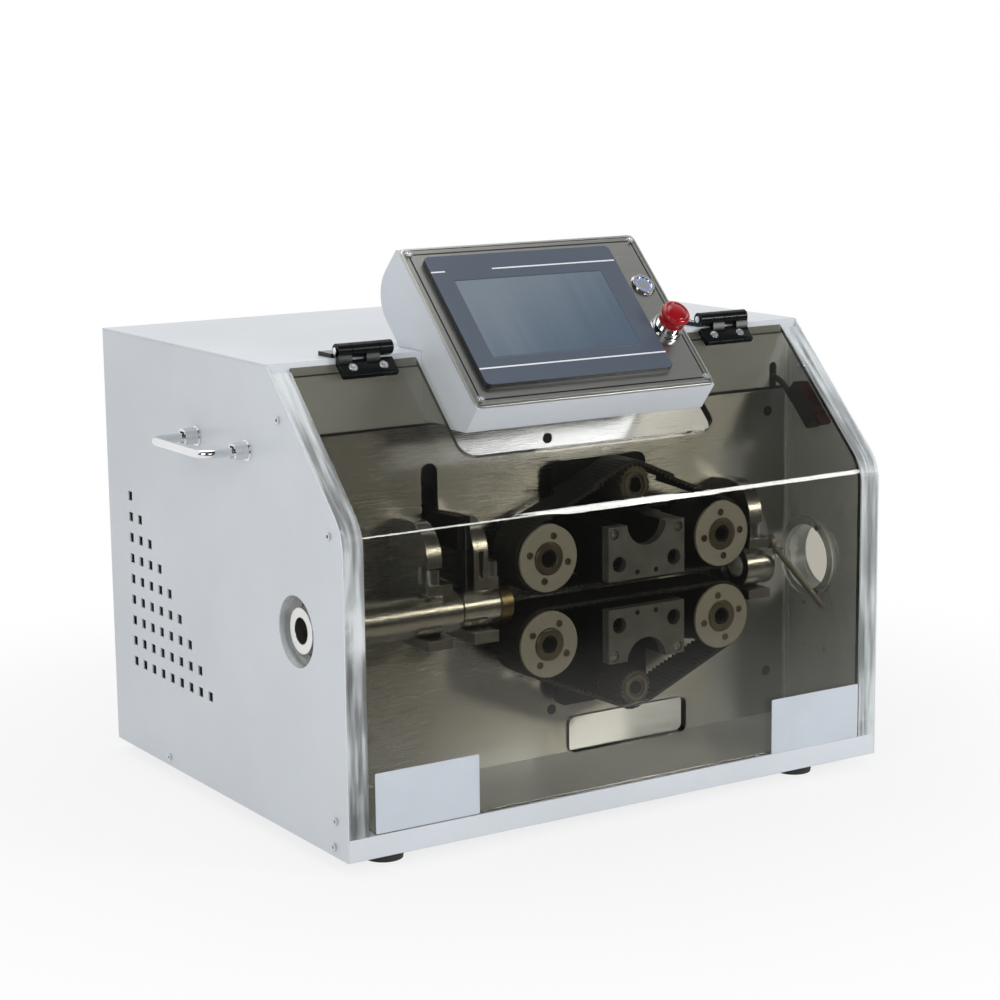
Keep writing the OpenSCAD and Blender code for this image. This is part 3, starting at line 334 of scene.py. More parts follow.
class Wire:
    """One output of a node. Arithmetic on wires adds Math nodes."""

    def __init__(self, bench, socket):
        self.bench = bench
        self.socket = socket

    def math(self, operation, *values):
        return self.bench.node("Math", {"operation": operation}, dict(enumerate(values)))

    def __add__(self, other):
        return self.math("ADD", self, other)

    def __radd__(self, other):
        return self.math("ADD", other, self)

    def __sub__(self, other):
        return self.math("SUBTRACT", self, other)

    def __rsub__(self, other):
        return self.math("SUBTRACT", other, self)

    def __mul__(self, other):
        return self.math("MULTIPLY", self, other)

    def __rmul__(self, other):
        return self.math("MULTIPLY", other, self)

    def __truediv__(self, other):
        return self.math("DIVIDE", self, other)

    def __rtruediv__(self, other):
        return self.math("DIVIDE", other, self)

    def __pow__(self, other):
        return self.math("POWER", self, other)

    def __rpow__(self, other):
        return self.math("POWER", other, self)

    def at_least(self, other):
        return self.math("MAXIMUM", self, other)

    def size(self):
        return self.math("ABSOLUTE", self)

    def fade(self, start, end, low=0.0, high=1.0):
        """low before start, high after end, a smooth step between."""
        limits = {"From Min": start, "From Max": end, "To Min": low, "To Max": high}
        return self.bench.node("MapRange", {"interpolation_type": "SMOOTHSTEP"}, {"Value": self, **limits})


class Bench:
    """The node tree of one material or world."""

    def __init__(self, tree):
        self.tree = tree
        tree.nodes.clear()

    def node(self, kind, settings=None, sockets=None, out=0):
        """Adds a node: its settings first, then values or wires for its sockets."""
        made = self.tree.nodes.new("ShaderNode" + kind)
        for name, value in (settings or {}).items():
            setattr(made, name, value)
        for name, value in (sockets or {}).items():
            if isinstance(value, Wire):
                self.tree.links.new(value.socket, made.inputs[name])
            else:
                made.inputs[name].default_value = value
        return Wire(self, made.outputs[out])

    def close(self, kind, shader):
        """Ends the tree in the output node of its kind, Material or World."""
        made = self.tree.nodes.new("ShaderNodeOutput" + kind)
        self.tree.links.new(shader.socket, made.inputs["Surface"])

    def place(self):
        """Object coordinates in metres."""
        return self.node("TexCoord", out="Object")

    def facing(self):
        """The direction that the surface faces."""
        return self.node("NewGeometry", out="Normal")

    def noise(self, scale, detail=3.0, stretch=(1.0, 1.0, 1.0), rough=0.5):
        """Noise from 0 to 1 over the object coordinates, each axis times its stretch."""
        spot = self.node("VectorMath", {"operation": "MULTIPLY"}, {0: self.place(), 1: stretch})
        sockets = {"Vector": spot, "Scale": scale, "Detail": detail, "Roughness": rough}
        return self.node("TexNoise", None, sockets)

    def axes(self, vector=None):
        """The three numbers of a vector, object coordinates if none is given."""
        made = self.node("SeparateXYZ", None, {0: vector or self.place()})
        return [Wire(self, socket) for socket in made.socket.node.outputs]

    def blend(self, factor, one, other):
        """Mix of two colours."""
        return self.node("Mix", {"data_type": "RGBA"}, {0: factor, 6: one, 7: other}, out=2)

    def mixed(self, factor, one, other):
        """Mix of two shaders."""
        return self.node("MixShader", None, {0: factor, 1: one, 2: other})

    def bump(self, height, depth_mm, normal):
        """Normal of a surface that the height lifts by up to the depth."""
        return self.node("Bump", None, {"Height": height, "Distance": depth_mm / 1000, "Strength": 1.0,
                                        "Normal": normal})

    def rounded_edges(self, radius_mm):
        """Normal that turns smoothly round hard edges."""
        return self.node("Bevel", {"samples": 4}, {"Radius": radius_mm / 1000})

    def edge_mask(self, radius_mm):
        """1 on the rim of a hard edge and 0 away from it, from how far the rounded normal leans."""
        lean = self.node("VectorMath", {"operation": "DOT_PRODUCT"},
                         {0: self.rounded_edges(radius_mm), 1: self.facing()}, out=1)
        return lean.fade(0.995, 0.9)


# In the frame's metres: where the pressure blocks turn black, and the screen's edges and size, over which its
# painted reflection fades
BLOCK_TURNS = (-0.1872, -0.1862)
SCREEN_LEFT = 0.102
SCREEN_TOP = 0.486
SCREEN_W = 0.161
SCREEN_RISE = 0.063

BLACK = (0.0, 0.0, 0.0, 1.0)
WHITE = (1.0, 1.0, 1.0, 1.0)
RUBBED = (0.9, 0.9, 0.9, 1.0)


def behind_block_face(bench):
    """0 on the front 10 mm of the pressure blocks and 1 behind them."""
    return bench.axes()[1].fade(*BLOCK_TURNS)


def beside_panel(bench):
    """0 on faces that look the same way as the control panel and 1 on the sides of what stands on it."""
    _, depth, height = bench.axes(bench.facing())
    return (height * float(np.cos(PANEL_TILT)) - depth * float(np.sin(PANEL_TILT))).fade(0.95, 0.75)


def painted_screen_reflection(bench):
    """Painted reflection on the screen: 0 at its upper left, where the lighter colour paints a reflection,
    and 1 at its lower right, with soft upright streaks.
    """
    x, _, height = bench.axes()
    reflection_fall = (x + SCREEN_LEFT) / SCREEN_W * 0.55 + (SCREEN_TOP - height) / SCREEN_RISE * 0.45
    return (reflection_fall + (bench.noise(60.0, 2.0, (1.0, 0.03, 0.03)) - 0.5) * 0.35).fade(0.05, 0.95)


def shade(colour, factor):
    """A colour made lighter or darker."""
    return tuple(min(1.0, c * factor) for c in colour[:3]) + (1.0,)


finishes = {}


def new_finish(name):
    """Adds a material to the finishes, and gives the bench of its nodes."""
    material = bpy.data.materials.new(name)
    material.use_nodes = True
    finishes[name] = material
    return Bench(material.node_tree)


def solid_finish(name, colour, roughness, metallic=0.0, cloud=(6.0, 0.04), grain=None, brush=None,
                 edge=0.5, wear=0.0, fixed=None, second=None):
    """A finish from one colour, with slow clouds, a fine grain or brushed lines, and rounded, rubbed edges.

    cloud is (scale, share of colour), grain (scale, depth in mm, roughness share), brush (stretch, scale,
    depth in mm, share of colour, roughness share), edge a radius in mm, fixed the sockets that are the same
    all over, and second (another colour, and the function of the place that blends to it).
    """
    bench = new_finish(name)
    colour = (*colour, 1.0)
    tone = bench.noise(cloud[0], 4.0)
    base = bench.blend(tone.fade(0.3, 0.7), shade(colour, 1 - cloud[1]), shade(colour, 1 + cloud[1]))
    if second:
        base = bench.blend(second[1](bench), base, (*second[0], 1.0))
    rough = tone * 0.08 + (roughness - 0.04)
    normal = bench.rounded_edges(edge)
    if grain:
        fine = bench.noise(grain[0], 2.0)
        normal = bench.bump(fine, grain[1], normal)
        rough = rough + (fine - 0.5) * grain[2]
    if brush:
        lines = bench.noise(brush[1], 4.0, brush[0], 0.7)
        normal = bench.bump(lines, brush[2], normal)
        base = bench.blend(lines.fade(0.35, 0.65), bench.blend(brush[3], base, BLACK), base)
        rough = rough + (lines - 0.5) * brush[4]
    if wear:
        base = bench.blend(bench.edge_mask(edge * 1.5) * wear, base, RUBBED)
    sockets = {"Base Color": base, "Roughness": rough, "Metallic": metallic, "Normal": normal}
    sockets.update(fixed or {})
    bench.close("Material", bench.node("BsdfPrincipled", None, sockets))


def window_cuts(bench, facing):
    """Mask and matt share of the sawn edges and bores of a side window, whose faces stand along x."""
    streak = bench.noise(160.0, 3.0, (1.0, 0.06, 0.06)).fade(0.35, 0.65, 0.15, 0.85)
    cloud = bench.noise(14.0, 3.0).fade(0.35, 0.6, 0.45, 1.0)
    return facing[0].size().fade(0.9, 0.5), streak * cloud


def cover_cuts(bench, facing):
    """Mask and matt share of the bent cover's cut walls: its sides, lower rim, window and notch."""
    across, _, height = facing
    return across.size().at_least(height.size()).fade(0.8, 0.92), 0.92


def acrylic_finish(name, tint, cuts, cut_colour, haze=0.0, scratch=0.02):
    """Cast acrylic: a tinted, refracting body that lets lamp light straight through, and its cut faces.

    cuts gives the mask of the cut faces and how much of them is the matt colour.
    """
    bench = new_finish(name)
    streak = bench.noise(40.0, 3.0, (1.0, 1.0, 0.2))
    mask, share = cuts(bench, bench.axes(bench.facing()))
    rough = streak.fade(0.55, 0.8) * scratch + mask * (streak * 0.2 + haze)
    body = bench.node("BsdfPrincipled", None, {
        "Base Color": (*tint, 1.0), "Roughness": rough, "IOR": 1.49, "Transmission Weight": 1.0,
        "Normal": bench.rounded_edges(0.4)})
    matt = bench.node("BsdfPrincipled", None, {
        "Base Color": (*cut_colour, 1.0), "Roughness": streak * 0.2 + 0.2})
    shadow, diffuse = (bench.node("LightPath", out=kind) for kind in ("Is Shadow Ray", "Is Diffuse Ray"))
    path = shadow.at_least(diffuse)
    through = bench.node("BsdfTransparent", None, {"Color": tuple(c ** 0.5 for c in tint) + (1.0,)})
    bench.close("Material", bench.mixed(path, bench.mixed(mask * share, body, matt), through))


solid_finish("white_sheet", (0.66, 0.70, 0.745), 0.38, grain=(900.0, 0.02, 0.08), edge=1.0,
             fixed={"Coat Weight": 0.15, "Coat Roughness": 0.25})
acrylic_finish("clear_acrylic", (0.95, 0.965, 0.965), window_cuts, (0.72, 0.76, 0.78), haze=0.22)
acrylic_finish("smoked_acrylic", (0.475, 0.455, 0.395), cover_cuts, (0.012, 0.012, 0.010))
solid_finish("brushed_plate", (0.55, 0.555, 0.545), 0.28, 1.0, cloud=(3.0, 0.06), edge=0.6,
             brush=((0.02, 1.0, 1.0), 1500.0, 0.003, 0.06, 0.04),
             fixed={"Anisotropic": 1.0, "Anisotropic Rotation": 0.25})
solid_finish("panel_steel", (0.435, 0.44, 0.415), 0.32, 1.0, cloud=(4.0, 0.04), edge=0.3,
             brush=((0.03, 1.0, 1.0), 900.0, 0.012, 0.08, 0.08))
solid_finish("polished_steel", (0.72, 0.72, 0.70), 0.24, 1.0, edge=0.6,
             brush=((1.0, 0.15, 0.15), 500.0, 0.003, 0.05, 0.08))
solid_finish("zinc_steel", (0.62, 0.64, 0.66), 0.25, 1.0, edge=0.3, grain=(600.0, 0.01, 0.1))
solid_finish("frame_steel", (0.20, 0.21, 0.22), 0.5, 0.3, grain=(700.0, 0.03, 0.1))
solid_finish("brass", (0.32, 0.255, 0.14), 0.32, 1.0, brush=((1.0, 0.2, 0.2), 400.0, 0.006, 0.08, 0.1))
solid_finish("black_metal", (0.006, 0.0065, 0.007), 0.2, grain=(800.0, 0.004, 0.06),
             fixed={"Specular IOR Level": 0.2})
solid_finish("black_oxide", (0.03, 0.03, 0.034), 0.34, 0.7, edge=0.4, grain=(700.0, 0.01, 0.1), wear=0.15)
solid_finish("black_plastic", (0.02, 0.02, 0.022), 0.4, grain=(1200.0, 0.03, 0.1))
solid_finish("bezel_plastic", (0.075, 0.095, 0.13), 0.36, grain=(1500.0, 0.02, 0.08),
             second=((0.006, 0.007, 0.010), beside_panel))
# The screen is painted lighter at its upper left and darker towards its lower right, as a painted reflection
solid_finish("screen", (0.185, 0.225, 0.27), 0.16, cloud=(3.0, 0.06),
             second=((0.075, 0.11, 0.155), painted_screen_reflection))
solid_finish("rubber", (0.025, 0.025, 0.025), 0.7, grain=(900.0, 0.06, 0.1))
solid_finish("belt_rubber", (0.018, 0.02, 0.018), 0.55, grain=(900.0, 0.05, 0.1))
solid_finish("block_metal", (0.22, 0.23, 0.23), 0.5, 0.4, cloud=(60.0, 0.12), grain=(1100.0, 0.12, 0.2),
             second=((0.010, 0.010, 0.010), behind_block_face))
solid_finish("roller_metal", (0.66, 0.65, 0.60), 0.36, 0.35, grain=(800.0, 0.01, 0.08))
solid_finish("motor_aluminium", (0.06, 0.06, 0.065), 0.4, 0.5,
             brush=((1.0, 0.05, 1.0), 400.0, 0.01, 0.1, 0.1))
solid_finish("blade_steel", (0.55, 0.58, 0.62), 0.2, 1.0, brush=((1.0, 1.0, 0.1), 500.0, 0.006, 0.1, 0.1))
solid_finish("chrome", (0.74, 0.75, 0.76), 0.1, 1.0)
solid_finish("red_plastic", (0.30, 0.004, 0.009), 0.14)
solid_finish("blue_lit", (0.25, 0.33, 0.75), 0.3,
             fixed={"Emission Color": (0.25, 0.4, 1.0, 1.0), "Emission Strength": 0.5})
solid_finish("key_plastic", (0.035, 0.009, 0.009), 0.4)
solid_finish("box_metal", (0.5, 0.51, 0.52), 0.4, 0.8, grain=(700.0, 0.02, 0.1))
solid_finish("circuit_green", (0.04, 0.14, 0.08), 0.45)

# Finishes of the scene's own pieces, which share a slot with others
solid_finish("roller_core", (0.012, 0.012, 0.013), 0.5)
solid_finish("hub_metal", (0.36, 0.33, 0.26), 0.3, 1.0, edge=0.3)
solid_finish("idler_metal", (0.16, 0.15, 0.125), 0.42, 0.6, edge=0.2)
solid_finish("screw_bronze", (0.34, 0.30, 0.24), 0.28, 1.0, edge=0.2)
solid_finish("lever_steel", (0.33, 0.32, 0.29), 0.42, 0.8, edge=0.3, grain=(700.0, 0.005, 0.1))
solid_finish("label_card", (0.56, 0.61, 0.67), 0.4, cloud=(20.0, 0.03), edge=0.2)
solid_finish("screw_dark", (0.02, 0.02, 0.022), 0.4, 0.5, edge=0.3)
solid_finish("line_white", (0.8, 0.82, 0.85), 0.5, edge=0.1)

for row in frame["record"]["subparts"]:
    for place in frame["nodes"][row["node"]].material_slots:
        place.material = finishes[row["material_slot"]]


# Smoked cover

# Columns of the sheet on each side of its openings and across them, a distance beyond the sheet,
# and how near a row may lie to an opening's end and still count as in it
SIDE_COLUMNS = 6
MIDDLE_COLUMNS = 12
BEYOND = 1e3
SLACK = 1e-6


def cover_rows():
    """Rows of the cover: heights up its front, angles round its knee and distances up its slope.

    They lie closest at the round corners of the sheet, of the finger window and of the notch.
    """
    _, low, high, r = FINGER
    _, _, notch_low, notch_r = NOTCH
    bow = 1 - np.cos(np.linspace(0, np.pi / 2, 7))
    front = [COVER_LOW + COVER_CORNER * bow, low + r * bow, high - r * bow[::-1], np.linspace(130, 240, 4)]
    slope = [[40], notch_low + notch_r * bow, np.linspace(100, 170, 4)]
    heights, distances = (np.unique(np.round(np.concatenate(rows), 4)) for rows in (front, slope))
    return heights, np.radians(180 - np.linspace(0, 45, 19)), distances


def cover_layer(inset):
    """(y, z) of each row of the sheet, moved in by inset: upright front, knee arc and slope at 45 degrees."""
    heights, angles, distances = cover_rows()
    r = KNEE_R - inset
    front = np.column_stack([np.full(len(heights), COVER_Y + inset), heights])
    bend_z = KNEE_Z - KNEE_TANGENT
    knee = np.column_stack([COVER_Y + KNEE_R + r * np.cos(angles), bend_z + r * np.sin(angles)])
    s = np.append(distances, END_S - inset)
    slope = on_slope(np.column_stack([np.zeros(len(s)), s, np.full(len(s), -inset)]))[:, 1:]
    return np.concatenate([front, knee, slope])


def corner(distance, radius):
    """How far a round corner draws an edge in at a distance d from its start: r - sqrt(r^2 - (r - d)^2)."""
    d = np.clip(distance, 0, radius)
    return radius - np.sqrt(radius ** 2 - (radius - d) ** 2)


def smoked_cover_shell():
    """Bent sheet: rows run up the profile and columns across, without the finger window and the notch.

    The middle columns' limits on each row follow the openings' sides with their round corners, and pass
    from window to notch in step with the way up the sheet. The inner layer is the outer one moved in by
    the sheet's thickness, and walls join the two at each free edge.
    """
    heights, angles, distances = cover_rows()
    outer, inner = cover_layer(0.0), cover_layer(COVER_T)
    height = np.concatenate([heights, np.full(len(angles) + len(distances) + 1, BEYOND)])
    climb = np.concatenate([np.full(len(heights) + len(angles), -BEYOND), distances, [END_S]])
    half, low, high, r = FINGER
    notch_left, notch_right, notch_low, notch_r = NOTCH
    edge = COVER_HALF - corner(height - COVER_LOW, COVER_CORNER)
    in_window = (height >= low - SLACK) & (height <= high + SLACK)
    window_pull = np.where(in_window, np.maximum(corner(height - low, r), corner(high - height, r)), r)
    in_notch = climb >= notch_low - SLACK
    notch_pull = np.where(in_notch, corner(climb - notch_low, notch_r), notch_r)
    run = np.concatenate([[0], np.cumsum(np.linalg.norm(np.diff(outer, axis=0), axis=1))])
    window_top, notch_base = run[np.argmax(height > high - SLACK)], run[np.argmax(in_notch)]
    share = np.clip((run - window_top) / (notch_base - window_top), 0, 1)
    left = np.where(in_notch, notch_left + notch_pull,
                    (1 - share) * (-half + window_pull) + share * (notch_left + notch_r))
    right = np.where(in_notch, notch_right - notch_pull,
                     (1 - share) * (half - window_pull) + share * (notch_right - notch_r))
    t_side, t_middle = (np.linspace(0, 1, count + 1) for count in (SIDE_COLUMNS, MIDDLE_COLUMNS))
    x = np.concatenate([-edge[:, None] + (left + edge)[:, None] * t_side[:-1],
                        left[:, None] + (right - left)[:, None] * t_middle[:-1],
                        right[:, None] + (edge - right)[:, None] * t_side], 1)
    keep = np.ones((x.shape[0] - 1, x.shape[1] - 1), bool)
    open_row = (in_window[:-1] & in_window[1:]) | (in_notch[:-1] & in_notch[1:])
    keep[open_row, SIDE_COLUMNS:SIDE_COLUMNS + MIDDLE_COLUMNS] = False
    layers = [np.stack([x, *np.broadcast_arrays(yz[:, :1], yz[:, 1:], x)[:2]], -1) for yz in (outer, inner)]
    return np.stack(layers).reshape(-1, 3), sheet_faces(keep)


def sheet_faces(keep):
    """Faces of two layers of a grid where it is kept, the inner one turned over, and walls at its free edges.

    A wall stands where a kept cell has no kept cell beside it. Each side of a cell is given by the axis and
    shift that bring its neighbour, and the offsets of its two corners.
    """
    number = np.arange((keep.shape[0] + 1) * (keep.shape[1] + 1)).reshape(keep.shape[0] + 1, -1)
    count = number.size
    corners = np.stack([number[:-1, :-1], number[:-1, 1:], number[1:, 1:], number[1:, :-1]], -1)
    faces = [corners[keep], corners[keep][:, ::-1] + count]
    padded = np.pad(keep, 1)
    for axis, shift, one, two in ((0, 1, (0, 0), (0, 1)), (0, -1, (1, 1), (1, 0)),
                                  (1, 1, (1, 0), (0, 0)), (1, -1, (0, 1), (1, 1))):
        beside = np.roll(padded, shift, axis)[1:-1, 1:-1]
        i, j = np.nonzero(keep & ~beside)
        p, q = number[i + one[0], j + one[1]], number[i + two[0], j + two[1]]
        faces.append(np.stack([p, q, q + count, p + count], -1))
    return np.concatenate(faces)


add_piece("smoked_cover_sheet", smoked_cover_shell(), "cover", "smoked_acrylic", ["smoked_cover"], bevel=0.6)


# Belt feed

def feed_point(x, y, z, side):
    """A point from the feed's middle and the tube's axis, above it for side 1 and below it for side -1."""
    return np.array([FEED_X + x, y, TUBE_Z + side * z])


def roller_shells(side, end, turn):
    """Flanged roller on the Y axis: its front flange, hub ring, core, and four screws turned by an angle."""
    spot = feed_point(end * ROLLER_OUT, ROLLER_Y, ROLLER_RISE, side)
    flange = [(15.6, 0.9), (15.6, 0.25), (15.9, 0), (30.5, 0), (31, 0.5), (31, 3), (30.5, 3.5), (15.6, 3.5),
              (15.6, 0.9)]
    hub = [(8.4, 1.5), (8.4, -0.4), (8.8, -0.8), (13.4, -0.8), (13.8, -0.4), (13.8, 0.3), (15.3, 0.3),
           (15.3, 3), (8.4, 3), (8.4, 1.5)]
    core = [(6.3, 1.6), (15, 2.6), (29, 3.6), (29, ROLLER_L - 3.7), (30.6, ROLLER_L - 3.5),
            (31, ROLLER_L - 3), (31, ROLLER_L - 0.6), (30.4, ROLLER_L), (6.3, ROLLER_L), (6.3, 1.6)]
    angles = np.radians(turn + 90 * np.arange(4))
    seats = [spot + ROLLER_SCREWS_R * np.array([np.cos(a), 0, np.sin(a)]) for a in angles]
    shells = [placed(turned(profile, 96), spot, (0, 1, 0)) for profile in (flange, hub, core)]
    return *shells, screw_row(6.6, 1.1, seats, (0, -1, 0))


def idler_shells(side):
    """Toothed idler: profile radius less 9.5 percent x tooth wave; and the ring that stands on its front."""
    def waves(u):
        tooth = np.clip(0.5 + 1.2 * np.cos(IDLER_TEETH * u), 0, 1)
        rows = np.array([0, 0, 0, 1, 1, 1, 1, 0])[:, None]
        return 1 - rows * 0.095 * tooth[None]
    profile = [(6.2, BELT_W + 1), (6.2, -1.2), (8.0, -1.2), (16.4, -1), (17, -0.4), (17, BELT_W + 0.4),
               (16.4, BELT_W + 1), (6.2, BELT_W + 1)]
    ring = [(8.8, -1.6), (9.2, -3), (11.8, -3), (12.4, -2.4), (12.4, -1.1), (8.8, -1.1), (8.8, -1.6)]
    spot = feed_point(0, BELT_Y, IDLER_RISE, side)
    return placed(turned(profile, 160, waves), spot, (0, 1, 0)), placed(turned(ring, 64), spot, (0, 1, 0))


def belt_shell(side):
    """Toothed belt: the loop round three circles carries a section whose inner face moves by the tooth wave.

    Loop point = circle centre + radius (cos n, sin n) with straight runs between, n the outward normal's
    angle. The section has eight points, each a distance out along n and a distance across the belt.
    """
    circles = [(-ROLLER_OUT, ROLLER_RISE, BELT_ON_ROLLER_R), (ROLLER_OUT, ROLLER_RISE, BELT_ON_ROLLER_R),
               (0.0, IDLER_RISE, BELT_ON_IDLER_R)]
    normals = []
    for (x0, z0, r0), (x1, z1, r1) in zip(circles, circles[1:] + circles[:1]):
        gap = np.hypot(x1 - x0, z1 - z0)
        normals.append(np.arctan2(z1 - z0, x1 - x0) - np.arccos((r0 - r1) / gap))
    normals = np.unwrap(normals)
    starts = np.concatenate([[normals[-1] - 2 * np.pi], normals[:-1]])
    angle = np.concatenate([np.linspace(a, b, ARC_POINTS) for a, b in zip(starts, normals)])
    centre = np.repeat([c[:2] for c in circles], ARC_POINTS, 0)
    radius = np.repeat([c[2] for c in circles], ARC_POINTS)
    loop = centre + radius[:, None] * np.column_stack([np.cos(angle), np.sin(angle)])
    loop = np.concatenate([loop, loop[:1]])
    angle = np.append(angle, angle[0] + 2 * np.pi)
    length = np.concatenate([[0], np.cumsum(np.linalg.norm(np.diff(loop, axis=0), axis=1))])
    teeth = int(round(length[-1] / BELT_PITCH))
    at = np.linspace(0, length[-1], teeth * TOOTH_POINTS, endpoint=False)
    x, z, n = (np.interp(at, length, values) for values in (loop[:, 0], loop[:, 1], angle))
    tooth = np.clip(0.5 + 1.3 * np.cos(2 * np.pi * at * teeth / length[-1]), 0, 1)
    inner, outer = BELT_TOOTH_H * (1 - tooth), BELT_T - 0.25 * tooth
    out = np.stack([inner, inner + 0.01, outer - 0.5, outer, outer, outer - 0.5, inner + 0.01, inner], -1)
    across = np.array([0.4, 0, 0, 0.5, BELT_W - 0.5, BELT_W, BELT_W, BELT_W - 0.4])
    points = np.stack([FEED_X + x[:, None] + out * np.cos(n)[:, None],
                       np.broadcast_to(BELT_Y + across, out.shape),
                       TUBE_Z + side * (z[:, None] + out * np.sin(n)[:, None])], -1)
    return points.reshape(-1, 3), grid_faces(len(at), len(across), True)


SCREW_TURNS = {"upper_left": 76, "lower_left": 60, "upper_right": 5, "lower_right": 12}
for side, unit in ((1, "upper"), (-1, "lower")):
    for end, hand in ((-1, "left"), (1, "right")):
        name = f"{unit}_{hand}_roller"
        disc, ring, core, screws = roller_shells(side, end, SCREW_TURNS[f"{unit}_{hand}"])
        add_piece(f"{name}_core", core, name, "black_metal", [name], "roller_core")
        add_piece(f"{name}_flange", disc, name, "roller_metal", [name])
        add_piece(f"{name}_hub_ring", ring, name, "roller_metal", finish="hub_metal")
        add_piece(f"{name}_screws", screws, name, "zinc_steel", finish="screw_bronze")
    feed, idler = f"{unit}_feed", f"{unit}_idler"
    teeth, ring = idler_shells(side)
    add_piece(f"{idler}_toothed", teeth, idler, "roller_metal", [idler], "idler_metal")
    add_piece(f"{idler}_ring", ring, idler, "roller_metal", finish="hub_metal")
    add_piece(f"{unit}_belt_toothed", belt_shell(side), feed, "belt_rubber", [f"{unit}_belt"])
    bright = [feed_point(hand * 36, 50.5, 57.2, side) for hand in (-1, 1)]
    dark = [feed_point(hand * 31, 55, 28.7, side) for hand in (-1, 1)]
    add_piece(f"{unit}_block_screws", screw_row(9.2, 6, bright, (0, -1, 0)), feed, "zinc_steel")
    add_piece(f"{unit}_block_dark_screws", screw_row(14, 6, dark, (0, -1, 0)), feed, "black_oxide",
              finish="screw_dark")


# Front labels, left blank: x and z of each one's middle, its width and height

LABELS = [(-213.5, 48.0, 105.0, 54.0), (219.0, 46.5, 106.0, 53.0)]
cards, card_faces = joined([stacked(plate_levels(w, h, 1.5, x, z, 0.0, 0.7, 0.2)) for x, z, w, h in LABELS])
cards = np.stack([cards[:, 0], 0.95 - cards[:, 2], cards[:, 1]], -1)
add_piece("blank_labels", (cards, card_faces), "cover", "white_sheet", finish="label_card")


# Control panel

def panel_shell(shell):
    """A shell in the panel's own x, v and w, moved onto the panel."""
    return on_panel(shell[0]), shell[1]


def bezel_levels():
    """Screen box behind the plate, the bezel's body, its seam, its flat front sheet and the glass's well."""
    x, v, w, h = BEZEL
    gx, gv, gw, gh = GLASS
    back = [closing_level(x, v, -34.0), (w - 14, h - 14, 1.0, x, v, -34.0), (w - 14, h - 14, 1.0, x, v, 0.0)]
    body = plate_levels(w, h, 6.0, x, v, 0.0, 2.6, 0.4)[1:-1]
    seam = [(w - 2.2, h - 2.2, 5.0, x, v, at) for at in (2.6, 2.9)]
    front = plate_levels(w, h, 6.0, x, v, 2.9, 5.0, 0.9)[1:-1] + [(w - 3, h - 3, 4.6, x, v, 5.0)]
    well = [(gw + 2.4, gh + 2.4, 1.6, gx, gv, 5.0), (gw + 1.2, gh + 1.2, 1.2, gx, gv, 5.0),
            (gw, gh, 0.5, gx, gv, 4.7), (gw, gh, 0.5, gx, gv, 4.0), closing_level(gx, gv, 4.0)]
    return back + body + seam + front + well


def panel_ring(outer, inner, low, high, edge):
    """Flat frame on the panel: the outer outline up and over a rounded edge, then down the inner outline."""
    rows = plate_levels(*outer, 0, 0, low, high, edge)[1:-1] + [(*inner, 0, 0, at) for at in (high, low)]
    points, _ = stacked(rows)
    return panel_shell((points, grid_faces(len(rows), OUTLINE_POINTS, True)))


def panel_turned(profile, spot):
    """Lathe shape that stands on the panel at a spot."""
    points, faces = turned(profile, 64)
    return panel_shell((points + (*spot, 0), faces))


def line_strip(x0, x1, v):
    """Thin printed line from x0 to x1 at the height v on the bezel's front sheet."""
    return stacked(plate_levels(x1 - x0, 1.5, 0.3, (x0 + x1) / 2, v, 4.9, 5.06, 0.03))


def panel_face_shell():
    """Sheet with a rounded edge and holes for the screen's box, the power button and the emergency stop."""
    x, v, w, h = BEZEL
    a = np.linspace(0, 2 * np.pi, 64, endpoint=False)
    circle = np.column_stack([np.cos(a), np.sin(a)])
    box_hole = rounded(w - 13.6, h - 13.6, 1.2) + (x, v)
    holes = [box_hole, circle * POWER_HOLE_R + POWER, circle * ESTOP_HOLE_R + ESTOP]
    rows = plate_levels(253.0, 178.0, 4.0, 0, 0, PANEL_FACE_LOW, PANEL_FACE_TOP, 0.4)[1:-1]
    rows += [(252.0, 177.0, 3.6, 0, 0, PANEL_FACE_TOP)]
    shells = [stacked(rows)] + [flat_face(rounded(*row[:3]), holes, row[5]) for row in (rows[0], rows[-1])]
    for hole in holes:
        wall = [np.column_stack([hole, np.full(len(hole), at)]) for at in (PANEL_FACE_LOW, PANEL_FACE_TOP)]
        shells.append((np.concatenate(wall), grid_faces(2, len(hole))))
    return panel_shell(joined(shells))


add_piece("screen_bezel", panel_shell(stacked(bezel_levels())), "cabinet", "bezel_plastic", ["touch_screen"])
lines = [line_strip(-112.6, -97.9, 58), line_strip(-47.6, 88.4, 58), line_strip(-112.6, 90.2, -54.4)]
add_piece("bezel_lines", panel_shell(joined(lines)), "cabinet", "bezel_plastic", finish="line_white")
add_piece("panel_face", panel_face_shell(), "cabinet", "panel_steel", ["panel_plate"])
rim = panel_ring((260.0, 185.0, 7.0), (253.8, 178.8, 4.2), -2.0, 0.0, 1.6)
add_piece("panel_rim", rim, "cabinet", "panel_steel")
border = panel_ring((247.0, 170.0, 1.8), (243.8, 166.8, 0.6), -0.4, -0.12, 0.05)
add_piece("panel_border", border, "cabinet", "black_oxide", finish="screw_dark")

